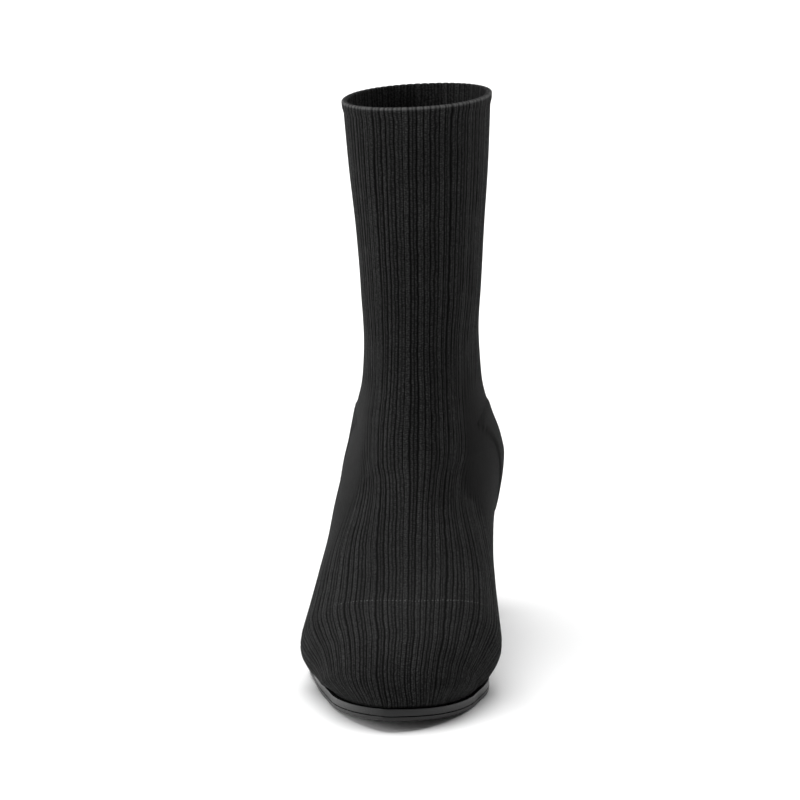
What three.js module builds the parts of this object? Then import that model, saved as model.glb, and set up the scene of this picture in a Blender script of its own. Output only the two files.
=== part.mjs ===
// Heeled sock boot for the wearer's right foot, in millimetres, with +Z up.
// The toe points to -Y and the heel to +Y. The medial side (big toe) is +X and the lateral side is -X.
// Every surface is worked out from a lengthwise place, the share of the foot's length from the heel's back (0)
// to the toe's tip (1), and from the tables of sections below.
import * as THREE from 'three';
import * as BufferGeometryUtils from 'three/addons/utils/BufferGeometryUtils.js';

// Driving dimensions of the boot
const FOOT_LENGTH = 241;
const BALL_WIDTH = 92;
const SEAT_HEIGHT = 56;
const SHAFT_HEIGHT = 204;
const INSTEP_HEIGHT = 80;
const TOE_SPRING = 5.5;

// Walls and layers
const UPPER_WALL = 2.2;
const COLLAR_ROLL = 0.6;
const COLLAR_ROLL_HEIGHT = 5;
const RIM_CROWN = 0.7;
const COUNTER_STEP = 0.7;
const COUNTER_HEIGHT = 54;
const COUNTER_LENGTH = 68;
const COUNTER_BEVEL = 5;
const INSOLE_THICKNESS = 2.4;
const MIDSOLE_THICKNESS = 3.3;
const OUTSOLE_THICKNESS = 1.8;
const SOLE_EDGE = 0.9;
const MIDSOLE_ROUND = 0.8;
const OUTSOLE_ROUND = 0.6;

// Heel block and its lift
const HEEL_TOP_LENGTH = 58;
const HEEL_FOOT_LENGTH = 46;
const HEEL_FOOT_WIDTH = 49;
const HEEL_RAKE = 5;
const HEEL_CURVE = 1.6;
const BREAST_HOLLOW = 2;
const LIFT_THICKNESS = 5;
const LIFT_ROUND = 0.8;

// Gap between pieces that touch, and the step between the upper and the insole beside it
const CLEARANCE = 0.3;
const INSOLE_GAP = 1.0;

// How finely the surfaces are divided
const SIDE_STEPS = 19;
const ROWS_PER_SECTION = 2;
const HEEL_ROWS = 7;
const OUTLINE_STEPS = 34;
const HEEL_STEPS = 14;
const BREAST_STEPS = 3;
const HEEL_LEVELS = 5;
const PROFILE_POINTS = 90;
const WELD = 1e-4;

// Over how many sections before the toe's tip the rings take the outline's shape
const TOE_SECTIONS = 2;

// Top of the sole along the centre line. rise is the share of the heel seat's height over the tread,
// spring the share of the toe spring.
const SOLE_LINE = [
  { place: -0.03, rise: 1.012, spring: 0 },
  { place: 0.00, rise: 1.000, spring: 0 },
  { place: 0.10, rise: 0.966, spring: 0 },
  { place: 0.20, rise: 0.896, spring: 0 },
  { place: 0.30, rise: 0.762, spring: 0 },
  { place: 0.40, rise: 0.572, spring: 0 },
  { place: 0.50, rise: 0.360, spring: 0 },
  { place: 0.60, rise: 0.160, spring: 0 },
  { place: 0.68, rise: 0.036, spring: 0 },
  { place: 0.73, rise: 0.000, spring: 0 },
  { place: 0.80, rise: 0.000, spring: 0 },
  { place: 0.86, rise: 0.000, spring: 0.14 },
  { place: 0.93, rise: 0.000, spring: 0.50 },
  { place: 1.00, rise: 0.000, spring: 1.00 },
];

// Outline of the upper where it meets the sole: half widths on each side as shares of the ball width.
// The heel behind the first row and the toe ahead of the last row are rounded by a formula.
const LATERAL_OUTLINE = [
  { place: 0.13, half: 0.355 },
  { place: 0.22, half: 0.352 },
  { place: 0.32, half: 0.341 },
  { place: 0.42, half: 0.348 },
  { place: 0.52, half: 0.400 },
  { place: 0.58, half: 0.442 },
  { place: 0.62, half: 0.446 },
  { place: 0.66, half: 0.424 },
  { place: 0.70, half: 0.381 },
  { place: 0.76, half: 0.328 },
  { place: 0.82, half: 0.267 },
];
const MEDIAL_OUTLINE = [
  { place: 0.13, half: 0.355 },
  { place: 0.22, half: 0.345 },
  { place: 0.32, half: 0.312 },
  { place: 0.42, half: 0.290 },
  { place: 0.52, half: 0.322 },
  { place: 0.60, half: 0.405 },
  { place: 0.66, half: 0.470 },
  { place: 0.71, half: 0.488 },
  { place: 0.75, half: 0.478 },
  { place: 0.80, half: 0.452 },
];
const HEEL_ROUNDNESS = 2.3;
const LATERAL_TOE_ROUNDNESS = 1.0;
const MEDIAL_TOE_ROUNDNESS = 1.5;
const TOE_TIP_ROUNDNESS = 1.8;
const TOE_TIP_SIDE = 0.08;

// Sections of the shaft and of the heel's cup, closed rings from the collar down.
// front and back are places along the foot; frontUp and backUp are shares of the shaft's height over the seat.
// lateral and medial are half widths as shares of the ball width, widest is the share of the way from the back
// to the front where they are reached, lower and upper are the roundness behind and before that place.
// lean shifts the front sideways, roll lifts the medial side. bend is 0 where the ring runs straight from back
// to front, and 1 where it rises straight up and then turns forwards.
const SHAFT_SECTIONS = [
  { front: 0.410, frontUp: 0.999, back: 0.045, backUp: 0.993, lateral: 0.385, medial: 0.376,
    widest: 0.50, lower: 2.15, upper: 2.15, lean: 0.000, roll: 0.045, bend: 0.00 },
  { front: 0.402, frontUp: 0.843, back: 0.045, backUp: 0.838, lateral: 0.358, medial: 0.362,
    widest: 0.50, lower: 2.15, upper: 2.15, lean: 0.000, roll: 0.025, bend: 0.00 },
  { front: 0.394, frontUp: 0.686, back: 0.047, backUp: 0.676, lateral: 0.322, medial: 0.338,
    widest: 0.50, lower: 2.15, upper: 2.15, lean: 0.000, roll: 0.010, bend: 0.00 },
  { front: 0.388, frontUp: 0.554, back: 0.052, backUp: 0.538, lateral: 0.302, medial: 0.322,
    widest: 0.50, lower: 2.10, upper: 2.10, lean: 0.000, roll: 0.000, bend: 0.00 },
  { front: 0.392, frontUp: 0.441, back: 0.050, backUp: 0.412, lateral: 0.293, medial: 0.304,
    widest: 0.48, lower: 2.05, upper: 2.05, lean: 0.000, roll: 0.000, bend: 0.15 },
  { front: 0.416, frontUp: 0.343, back: 0.032, backUp: 0.289, lateral: 0.316, medial: 0.308,
    widest: 0.46, lower: 1.80, upper: 2.10, lean: 0.010, roll: 0.000, bend: 0.40 },
  { front: 0.452, frontUp: 0.265, back: 0.008, backUp: 0.176, lateral: 0.368, medial: 0.336,
    widest: 0.45, lower: 1.50, upper: 2.15, lean: 0.020, roll: 0.000, bend: 0.70 },
  { front: 0.487, frontUp: 0.208, back: -0.005, backUp: 0.083, lateral: 0.406, medial: 0.372,
    widest: 0.44, lower: 1.34, upper: 2.15, lean: 0.030, roll: 0.000, bend: 0.90 },
];

// Sections of the foot, open underneath, from the heel's back to the toe.
// frontUp is the height over the sole as a share of the instep's height; base is where the ring stands on the sole.
const FOOT_SECTIONS = [
  { front: 0.514, frontUp: 0.868, base: 0.000, lateral: 0.426, medial: 0.392,
    widest: 0.44, lower: 1.26, upper: 2.15, lean: 0.035, bend: 1.00 },
  { front: 0.550, frontUp: 0.820, base: 0.110, lateral: 0.440, medial: 0.402,
    widest: 0.34, lower: 1.60, upper: 2.15, lean: 0.040, bend: 1.00 },
  { front: 0.590, frontUp: 0.762, base: 0.250, lateral: 0.440, medial: 0.405,
    widest: 0.28, lower: 1.80, upper: 2.15, lean: 0.040, bend: 0.95 },
  { front: 0.632, frontUp: 0.712, base: 0.390, lateral: 0.434, medial: 0.432,
    widest: 0.27, lower: 1.90, upper: 2.10, lean: 0.040, bend: 0.80 },
  { front: 0.680, frontUp: 0.665, base: 0.510, lateral: 0.446, medial: 0.474,
    widest: 0.27, lower: 1.90, upper: 2.10, lean: 0.042, bend: 0.60 },
  { front: 0.738, frontUp: 0.605, base: 0.610, lateral: 0.458, medial: 0.518,
    widest: 0.27, lower: 2.00, upper: 2.15, lean: 0.046, bend: 0.40 },
  { front: 0.805, frontUp: 0.532, base: 0.685, lateral: 0.468, medial: 0.548,
    widest: 0.26, lower: 2.00, upper: 2.20, lean: 0.048, bend: 0.25 },
  { front: 0.870, frontUp: 0.458, base: 0.735, lateral: 0.440, medial: 0.544,
    widest: 0.23, lower: 2.00, upper: 2.20, lean: 0.050, bend: 0.15 },
  { front: 0.930, frontUp: 0.350, base: 0.770, lateral: 0.388, medial: 0.534,
    widest: 0.18, lower: 2.00, upper: 2.20, lean: 0.052, bend: 0.08 },
  { front: 0.975, frontUp: 0.218, base: 0.790, lateral: 0.350, medial: 0.510,
    widest: 0.12, lower: 2.00, upper: 2.22, lean: 0.054, bend: 0.03 },
  { front: 0.996, frontUp: 0.095, base: 0.798, lateral: 0.332, medial: 0.486,
    widest: 0.05, lower: 2.00, upper: 2.24, lean: 0.055, bend: 0.00 },
  { front: 1.000, frontUp: 0.000, base: 0.800, lateral: 0.362, medial: 0.462,
    widest: 0.00, lower: 2.00, upper: 2.25, lean: 0.055, bend: 0.00 },
];

// Edge of the heel counter: its front edge stands over the seat and flares forwards under its top edge.
// up is the share of the counter's height, front and along are shares of the counter's length.
const COUNTER_FRONT = [
  { up: 0.00, front: 0.94 },
  { up: 0.22, front: 0.78 },
  { up: 0.42, front: 0.68 },
  { up: 0.60, front: 0.71 },
  { up: 0.74, front: 0.84 },
  { up: 0.84, front: 1.00 },
];
const COUNTER_TOP = [
  { along: 0.00, up: 1.000 },
  { along: 0.60, up: 0.950 },
  { along: 1.00, up: 0.865 },
];

// Colours and finishes
const KNIT_BLACK = new THREE.MeshStandardMaterial({ color: 0x1c1c1d, roughness: 0.9, metalness: 0 });
const LINING_BLACK = new THREE.MeshStandardMaterial({ color: 0x242424, roughness: 0.8, metalness: 0 });
const SOLE_GLOSS = new THREE.MeshStandardMaterial({ color: 0x161617, roughness: 0.25, metalness: 0 });
const HEEL_GLOSS = new THREE.MeshStandardMaterial({ color: 0x141415, roughness: 0.22, metalness: 0 });
const LIFT_RUBBER = new THREE.MeshStandardMaterial({ color: 0x1a1a1a, roughness: 0.7, metalness: 0 });

// A smooth curve through the values that a table's rows have at their places. It never swings past a row.
function curveThrough(places, values) {
  const last = places.length - 1;
  const rate = (i) => (values[i + 1] - values[i]) / (places[i + 1] - places[i]);
  const slopes = values.map((value, i) => {
    if (i === 0) return rate(0);
    if (i === last) return rate(last - 1);
    if (rate(i - 1) * rate(i) <= 0) return 0;
    const before = places[i] - places[i - 1];
    const after = places[i + 1] - places[i];
    const [early, late] = [2 * after + before, after + 2 * before];
    return (early + late) / (early / rate(i - 1) + late / rate(i));
  });
  return (place) => {
    const at = THREE.MathUtils.clamp(place, places[0], places[last]);
    let i = 0;
    while (i < last - 1 && places[i + 1] <= at) i += 1;
    const span = places[i + 1] - places[i];
    const t = (at - places[i]) / span;
    const start = (1 + 2 * t) * (1 - t) ** 2 * values[i] + t * (1 - t) ** 2 * span * slopes[i];
    const end = t * t * (3 - 2 * t) * values[i + 1] + t * t * (t - 1) * span * slopes[i + 1];
    return start + end;
  };
}

const column = (table, name) => table.map((row) => row[name]);
const riseCurve = curveThrough(column(SOLE_LINE, 'place'), column(SOLE_LINE, 'rise'));
const springCurve = curveThrough(column(SOLE_LINE, 'place'), column(SOLE_LINE, 'spring'));

// Heights of the sole's layers at a distance along the foot from the heel's back
const SOLE_STACK = OUTSOLE_THICKNESS + CLEARANCE + MIDSOLE_THICKNESS;
const soleUnder = (along) => (SEAT_HEIGHT - SOLE_STACK) * riseCurve(along / FOOT_LENGTH)
  + TOE_SPRING * springCurve(along / FOOT_LENGTH);
const outsoleTop = (along) => soleUnder(along) + OUTSOLE_THICKNESS;
const midsoleUnder = (along) => outsoleTop(along) + CLEARANCE;
const midsoleTop = (along) => soleUnder(along) + SOLE_STACK;
const featherHeight = (along) => midsoleTop(along) + CLEARANCE;

// Half width of an outline's round end, from 1 where the end starts to 0 at its tip. roundness shapes its
// shoulder and tipRoundness its tip.
const roundEnd = (fromStart, roundness, tipRoundness) => (1 - fromStart ** roundness) ** (1 / tipRoundness);

// Half width of the feather line on one side, at a distance along the foot. tipShift moves the toe's tip sideways.
function halfWidth(rows, toeRoundness, tipShift) {
  const table = curveThrough(column(rows, 'place'), column(rows, 'half'));
  const heel = rows[0];
  const toe = rows[rows.length - 1];
  return (along) => {
    const place = THREE.MathUtils.clamp(along / FOOT_LENGTH, 0, 1);
    if (place < heel.place) {
      return BALL_WIDTH * heel.half * roundEnd((heel.place - place) / heel.place, HEEL_ROUNDNESS, HEEL_ROUNDNESS);
    }
    if (place > toe.place) {
      const ahead = (place - toe.place) / (1 - toe.place);
      return BALL_WIDTH * (toe.half * roundEnd(ahead, toeRoundness, TOE_TIP_ROUNDNESS) + tipShift * ahead ** 2);
    }
    return BALL_WIDTH * table(place);
  };
}

const lateralEdge = halfWidth(LATERAL_OUTLINE, LATERAL_TOE_ROUNDNESS, -TOE_TIP_SIDE);
const medialEdge = halfWidth(MEDIAL_OUTLINE, MEDIAL_TOE_ROUNDNESS, TOE_TIP_SIDE);

// The feather outline as a loop: the lateral side from heel to toe, then the medial side back.
function featherLoop() {
  const lateral = [];
  const medial = [];
  for (let i = 0; i <= OUTLINE_STEPS; i += 1) {
    const along = FOOT_LENGTH * (1 - Math.cos(Math.PI * i / OUTLINE_STEPS)) / 2;
    lateral.push(new THREE.Vector2(-lateralEdge(along), along));
    medial.push(new THREE.Vector2(medialEdge(along), along));
  }
  return [...lateral, ...medial.slice(1, -1).reverse()];
}

// Moves each point of a plan loop outwards by a distance.
function growLoop(loop, distance) {
  return loop.map((point, i) => {
    const before = loop[(i + loop.length - 1) % loop.length];
    const after = loop[(i + 1) % loop.length];
    const along = new THREE.Vector2().subVectors(after, before).normalize();
    return new THREE.Vector2(point.x - along.y * distance, point.y + along.x * distance);
  });
}

// A closed solid from shared corner points and triangles. Points count their y from the heel's back towards
// the toe, so they are turned here to the boot's own axes, with the toe to -Y, and the triangles with them.
function weld(points, triangles) {
  const raw = new THREE.BufferGeometry();
  raw.setAttribute('position', new THREE.Float32BufferAttribute(points.flatMap((p) => [p.x, -p.y, p.z]), 3));
  raw.setIndex(triangles.flatMap(([a, b, c]) => [a, c, b]));
  const solid = BufferGeometryUtils.mergeVertices(raw, WELD);
  const corners = Array.from(solid.getIndex().array);
  const kept = [];
  for (let i = 0; i < corners.length; i += 3) {
    const [a, b, c] = corners.slice(i, i + 3);
    if (a !== b && b !== c && c !== a) kept.push(a, b, c);
  }
  solid.setIndex(kept);
  solid.computeVertexNormals();
  return solid;
}

// A solid between stacked plan loops, the highest first. A level has a loop and a height for each of its points.
// A loop's two sides pair up, so its flat ends are strips across.
function stackedSolid(levels) {
  const count = levels[0].loop.length;
  const points = levels.flatMap(({ loop, height }) => loop.map((p, i) => new THREE.Vector3(p.x, p.y, height(p.y, i))));
  const triangles = [];
  for (let level = 0; level + 1 < levels.length; level += 1) {
    for (let i = 0; i < count; i += 1) {
      const next = (i + 1) % count;
      const [a, b] = [level * count + i, level * count + next];
      const [c, d] = [a + count, b + count];
      triangles.push([a, b, d], [a, d, c]);
    }
  }
  const half = count / 2;
  const bottom = (levels.length - 1) * count;
  for (let i = 0; i < half; i += 1) {
    const [a, b] = [i, i + 1];
    const [c, d] = [(count - i) % count, count - i - 1];
    triangles.push([a, c, d], [a, d, b]);
    triangles.push([bottom + a, bottom + d, bottom + c], [bottom + a, bottom + b, bottom + d]);
  }
  return weld(points, triangles);
}

// A layer of the sole with rounded upper and lower edges
function soleLayer(edge, round, top, under) {
  const loop = featherLoop();
  const full = growLoop(loop, edge);
  const drawnIn = growLoop(loop, edge - round);
  return stackedSolid([
    { loop: drawnIn, height: top },
    { loop: full, height: (along) => top(along) - round },
    { loop: full, height: (along) => under(along) + round },
    { loop: drawnIn, height: under },
  ]);
}

// Front point, base point and shape values of every section, in millimetres
function sectionValues() {
  const shaft = SHAFT_SECTIONS.map((row) => ({
    ...row,
    frontAlong: row.front * FOOT_LENGTH,
    frontHeight: SEAT_HEIGHT + row.frontUp * SHAFT_HEIGHT,
    baseAlong: row.back * FOOT_LENGTH,
    baseHeight: SEAT_HEIGHT + row.backUp * SHAFT_HEIGHT,
  }));
  const foot = FOOT_SECTIONS.map((row) => ({
    ...row,
    roll: 0,
    frontAlong: row.front * FOOT_LENGTH,
    frontHeight: featherHeight(row.front * FOOT_LENGTH) + row.frontUp * INSTEP_HEIGHT,
    baseAlong: row.base * FOOT_LENGTH,
    baseHeight: featherHeight(row.base * FOOT_LENGTH),
  }));
  return [...shaft, ...foot];
}

const SECTIONS = sectionValues();
const FIRST_OPEN = SHAFT_SECTIONS.length;
const LAST_SECTION = SECTIONS.length - 1;
const SECTION_VALUES = ['frontAlong', 'frontHeight', 'baseAlong', 'baseHeight', 'lateral', 'medial', 'widest',
  'lower', 'upper', 'lean', 'roll', 'bend'];
const sectionCurves = Object.fromEntries(SECTION_VALUES.map(
  (name) => [name, curveThrough(SECTIONS.map((row, i) => i), column(SECTIONS, name))]));

const smooth = (t) => THREE.MathUtils.smoothstep(t, 0, 1);

// Points of one side of a ring, evenly spaced from its front to its base. station counts the sections.
function halfRing(station, side) {
  const row = Object.fromEntries(SECTION_VALUES.map((name) => [name, sectionCurves[name](station)]));
  const open = station >= FIRST_OPEN;
  const baseAlong = open ? Math.max(row.baseAlong, 0) : row.baseAlong;
  const base = new THREE.Vector3(0, baseAlong, open ? featherHeight(baseAlong) : row.baseHeight);
  const front = new THREE.Vector3(row.lean * BALL_WIDTH, row.frontAlong, row.frontHeight);
  const edge = side === 'lateral' ? lateralEdge : medialEdge;
  const baseWidth = open ? edge(baseAlong) : 0;
  const width = Math.max(row[side] * BALL_WIDTH, baseWidth);
  const sign = side === 'lateral' ? -1 : 1;
  const widest = Math.max(row.widest, WELD);
  const reach = Math.max((1 - (baseWidth / width) ** row.lower) ** (1 / row.lower), WELD);
  const toOutline = smooth((station - LAST_SECTION) / TOE_SECTIONS + 1);
  const curve = [];
  for (let i = 0; i <= PROFILE_POINTS; i += 1) {
    const turn = Math.PI / 2 * (1 - i / PROFILE_POINTS);
    const share = widest + (1 - widest) * Math.sin(turn) ** (2 / row.upper);
    curve.push([share, width * Math.cos(turn) ** (2 / row.upper)]);
  }
  const lastTurn = Math.asin(reach ** (row.lower / 2));
  for (let i = 1; i <= PROFILE_POINTS; i += 1) {
    const turn = lastTurn * i / PROFILE_POINTS;
    const share = widest * (1 - Math.sin(turn) ** (2 / row.lower) / reach);
    curve.push([share, width * Math.cos(turn) ** (2 / row.lower)]);
  }
  const control = new THREE.Vector3().lerpVectors(base, front, 0.5);
  control.lerp(new THREE.Vector3(control.x, base.y, front.z), row.bend);
  const spine = new THREE.QuadraticBezierCurve3(base, control, front);
  const points = curve.map(([share, out]) => {
    const point = spine.getPoint(share);
    const onOutline = sign * edge(THREE.MathUtils.lerp(baseAlong, FOOT_LENGTH, share));
    point.x = THREE.MathUtils.lerp(point.x + sign * out, onOutline, toOutline);
    point.z += row.roll * point.x;
    if (station === LAST_SECTION) point.z = featherHeight(point.y);
    return point;
  });
  return evenly(points);
}

// The same polyline with SIDE_STEPS equal steps
function evenly(points) {
  const lengths = [0];
  for (let i = 1; i < points.length; i += 1) lengths.push(lengths[i - 1] + points[i].distanceTo(points[i - 1]));
  const total = lengths[lengths.length - 1];
  const spaced = [];
  let at = 0;
  for (let step = 0; step <= SIDE_STEPS; step += 1) {
    const goal = total * step / SIDE_STEPS;
    while (at < points.length - 2 && lengths[at + 1] < goal) at += 1;
    const part = (goal - lengths[at]) / (lengths[at + 1] - lengths[at]);
    spaced.push(new THREE.Vector3().lerpVectors(points[at], points[at + 1], THREE.MathUtils.clamp(part, 0, 1)));
  }
  return spaced;
}

// A whole ring from the lateral base over the front to the medial base
function ring(station) {
  const lateral = halfRing(station, 'lateral').reverse();
  return [...lateral, ...halfRing(station, 'medial').slice(1)];
}

// Heights between the first two sections and down to a station in that gap
const COLLAR_GAP = (SHAFT_SECTIONS[0].backUp - SHAFT_SECTIONS[1].backUp) * SHAFT_HEIGHT;
const ROLL_STATION = COLLAR_ROLL_HEIGHT / COLLAR_GAP;

const counterFront = curveThrough(column(COUNTER_FRONT, 'up'), column(COUNTER_FRONT, 'front'));
const counterTop = curveThrough(column(COUNTER_TOP, 'along'), column(COUNTER_TOP, 'up'));

// How far the wall stands proud of the last: the rolled collar and the heel counter's step
function proud(point, station) {
  const rolled = COLLAR_ROLL * smooth(2 * (1 - station / ROLL_STATION));
  const ahead = COUNTER_LENGTH * counterFront((point.z - SEAT_HEIGHT) / COUNTER_HEIGHT) - point.y;
  const below = SEAT_HEIGHT + COUNTER_HEIGHT * counterTop(point.y / COUNTER_LENGTH) - point.z;
  const counter = COUNTER_STEP * smooth(Math.min(ahead, below) / COUNTER_BEVEL);
  return rolled + counter;
}

// Stations of the upper's rows: two to a section, with more in the collar's roll and round the heel's back
function upperStations() {
  const stations = [0, ROLL_STATION / 2, ROLL_STATION];
  for (let section = 0; section < LAST_SECTION; section += 1) {
    const steps = section === FIRST_OPEN ? HEEL_ROWS : ROWS_PER_SECTION;
    for (let step = section === 0 ? 1 : 0; step < steps; step += 1) stations.push(section + step / steps);
  }
  return [...stations, LAST_SECTION];
}

// The base loop as [row, column] places: down the lateral side, round the toe and back up the medial side
function baseLoop(openRow, lastRow, lastColumn) {
  const loop = [];
  for (let r = openRow; r < lastRow; r += 1) loop.push([r, 0]);
  for (let c = 0; c <= lastColumn; c += 1) loop.push([lastRow, c]);
  for (let r = lastRow - 1; r > openRow; r -= 1) loop.push([r, lastColumn]);
  return loop;
}

// Outward directions at the points of the rows. At the base they lie level, square to the feather line.
function outwardDirections(rows, openRow, loop) {
  const lastColumn = rows[0].length - 1;
  const directions = rows.map((row, r) => row.map((point, c) => {
    const left = c > 0 ? row[c - 1] : row[lastColumn - 1];
    const right = c < lastColumn ? row[c + 1] : row[1];
    const above = rows[Math.max(r - 1, 0)][c];
    const below = rows[Math.min(r + 1, rows.length - 1)][c];
    const across = new THREE.Vector3().subVectors(right, left);
    const direction = across.cross(new THREE.Vector3().subVectors(below, above));
    if (r === 0) direction.z = 0;
    return direction.normalize();
  }));
  loop.forEach(([r, c], i) => {
    const [beforeRow, beforeColumn] = loop[(i + loop.length - 1) % loop.length];
    const [afterRow, afterColumn] = loop[(i + 1) % loop.length];
    const along = new THREE.Vector3().subVectors(rows[afterRow][afterColumn], rows[beforeRow][beforeColumn]);
    directions[r][c].set(-along.y, along.x, 0).normalize();
  });
  directions[openRow][lastColumn].copy(directions[openRow][0]);
  return directions;
}

// The upper: one knitted wall from the rolled collar to the feather line, open above and underneath
function upperShell() {
  const stations = upperStations();
  const openRow = stations.indexOf(FIRST_OPEN);
  const lastRow = stations.length - 1;
  const rows = stations.map(ring);
  const lastColumn = rows[0].length - 1;
  const loop = baseLoop(openRow, lastRow, lastColumn);
  const directions = outwardDirections(rows, openRow, loop);
  const shifted = (distance) => rows.map((row, r) => row.map(
    (point, c) => point.clone().addScaledVector(directions[r][c], distance(point, stations[r]))));
  const outer = shifted(proud);
  const inner = shifted(() => -UPPER_WALL);
  const rim = outer[0].map((point, c) => {
    const middle = new THREE.Vector3().lerpVectors(point, inner[0][c], 0.5);
    middle.z += RIM_CROWN;
    return middle;
  });
  const points = [...outer.flat(), ...inner.flat(), ...rim];
  const columns = lastColumn + 1;
  const outerAt = (r, c) => r * columns + c;
  const innerAt = (r, c) => (rows.length + r) * columns + c;
  const rimAt = (c) => 2 * rows.length * columns + c;
  const triangles = [];
  const quad = (a, b, c, d) => {
    const shortCut = points[a].distanceTo(points[c]) <= points[b].distanceTo(points[d]);
    triangles.push(...(shortCut ? [[a, b, c], [a, c, d]] : [[a, b, d], [b, c, d]]));
  };
  for (let r = 0; r < lastRow; r += 1) {
    for (let c = 0; c < lastColumn; c += 1) {
      quad(outerAt(r, c), outerAt(r, c + 1), outerAt(r + 1, c + 1), outerAt(r + 1, c));
      quad(innerAt(r, c), innerAt(r + 1, c), innerAt(r + 1, c + 1), innerAt(r, c + 1));
    }
  }
  for (let c = 0; c < lastColumn; c += 1) {
    triangles.push([rimAt(c), rimAt(c + 1), outerAt(0, c + 1)], [rimAt(c), outerAt(0, c + 1), outerAt(0, c)]);
    triangles.push([innerAt(0, c), innerAt(0, c + 1), rimAt(c + 1)], [innerAt(0, c), rimAt(c + 1), rimAt(c)]);
  }
  loop.forEach(([r, c], i) => {
    const [nextRow, nextColumn] = loop[(i + 1) % loop.length];
    triangles.push([outerAt(r, c), outerAt(nextRow, nextColumn), innerAt(nextRow, nextColumn)]);
    triangles.push([outerAt(r, c), innerAt(nextRow, nextColumn), innerAt(r, c)]);
  });
  return weld(points, triangles);
}

// The heel block's plan loop under the sole: the feather outline up to the breast, closed across it
function heelLoop() {
  const lateral = [];
  const medial = [];
  for (let i = 0; i <= HEEL_STEPS; i += 1) {
    const along = HEEL_TOP_LENGTH * (1 - Math.cos(Math.PI / 2 * i / HEEL_STEPS));
    lateral.push(new THREE.Vector2(-lateralEdge(along), along));
    medial.push(new THREE.Vector2(medialEdge(along), along));
  }
  for (let i = 1; i < BREAST_STEPS; i += 1) {
    const inward = 1 - i / BREAST_STEPS;
    const along = HEEL_TOP_LENGTH - BREAST_HOLLOW * (1 - inward ** 2);
    lateral.push(new THREE.Vector2(-lateralEdge(HEEL_TOP_LENGTH) * inward, along));
    medial.push(new THREE.Vector2(medialEdge(HEEL_TOP_LENGTH) * inward, along));
  }
  lateral.push(new THREE.Vector2(0, HEEL_TOP_LENGTH - BREAST_HOLLOW));
  return [...lateral, ...medial.slice(1).reverse()];
}

// The heel loop drawn in towards the floor: share runs from 0 under the sole to 1 at the lift
function heelSection(share) {
  const drawn = 1 - (1 - share) ** HEEL_CURVE;
  const topWidth = lateralEdge(HEEL_TOP_LENGTH) + medialEdge(HEEL_TOP_LENGTH);
  const across = THREE.MathUtils.lerp(1, HEEL_FOOT_WIDTH / topWidth, drawn);
  const lengthwise = THREE.MathUtils.lerp(1, HEEL_FOOT_LENGTH / HEEL_TOP_LENGTH, drawn);
  return heelLoop().map((p) => new THREE.Vector2(p.x * across, p.y * lengthwise + HEEL_RAKE * drawn));
}

// The heel block, from the outsole down to the lift
function heelBlock() {
  const top = heelLoop();
  const foot = LIFT_THICKNESS + CLEARANCE;
  const levels = [];
  for (let level = 0; level <= HEEL_LEVELS; level += 1) {
    const share = level / HEEL_LEVELS;
    const height = (along, i) => THREE.MathUtils.lerp(soleUnder(top[i].y) - CLEARANCE, foot, share);
    levels.push({ loop: heelSection(share), height });
  }
  return stackedSolid(levels);
}

// The heel's rubber lift, flat on the floor
function heelLift() {
  const loop = heelSection(1);
  return stackedSolid([
    { loop, height: () => LIFT_THICKNESS },
    { loop, height: () => LIFT_ROUND },
    { loop: growLoop(loop, -LIFT_ROUND), height: () => 0 },
  ]);
}

// The insole, inside the upper's wall and on the midsole
function insoleBoard() {
  const loop = growLoop(featherLoop(), -(UPPER_WALL + INSOLE_GAP));
  return stackedSolid([
    { loop, height: (along) => featherHeight(along) + INSOLE_THICKNESS },
    { loop, height: featherHeight },
  ]);
}

const boot = new THREE.Group();

// Adds a piece of the boot under its name.
function addPiece(name, geometry, material) {
  const piece = new THREE.Mesh(geometry, material);
  piece.name = name;
  boot.add(piece);
}

addPiece('upper', upperShell(), KNIT_BLACK);
addPiece('insole', insoleBoard(), LINING_BLACK);
addPiece('midsole', soleLayer(SOLE_EDGE, MIDSOLE_ROUND, midsoleTop, midsoleUnder), SOLE_GLOSS);
addPiece('outsole', soleLayer(SOLE_EDGE, OUTSOLE_ROUND, outsoleTop, soleUnder), SOLE_GLOSS);
addPiece('heel_block', heelBlock(), HEEL_GLOSS);
addPiece('heel_lift', heelLift(), LIFT_RUBBER);

// The origin is under the middle of the boot's box, on the floor.
const box = new THREE.Box3().setFromObject(boot);
const middle = box.getCenter(new THREE.Vector3());
boot.position.set(-middle.x, -middle.y, -box.min.z);

export default boot;
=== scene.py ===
"""Dresses a heeled sock boot: ribbed knitted upper, polished sole, block heel, on a pale studio floor."""

import logging
import math
from collections.abc import Callable, Sequence
from dataclasses import dataclass, field
from enum import Enum
from typing import NamedTuple

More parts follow.
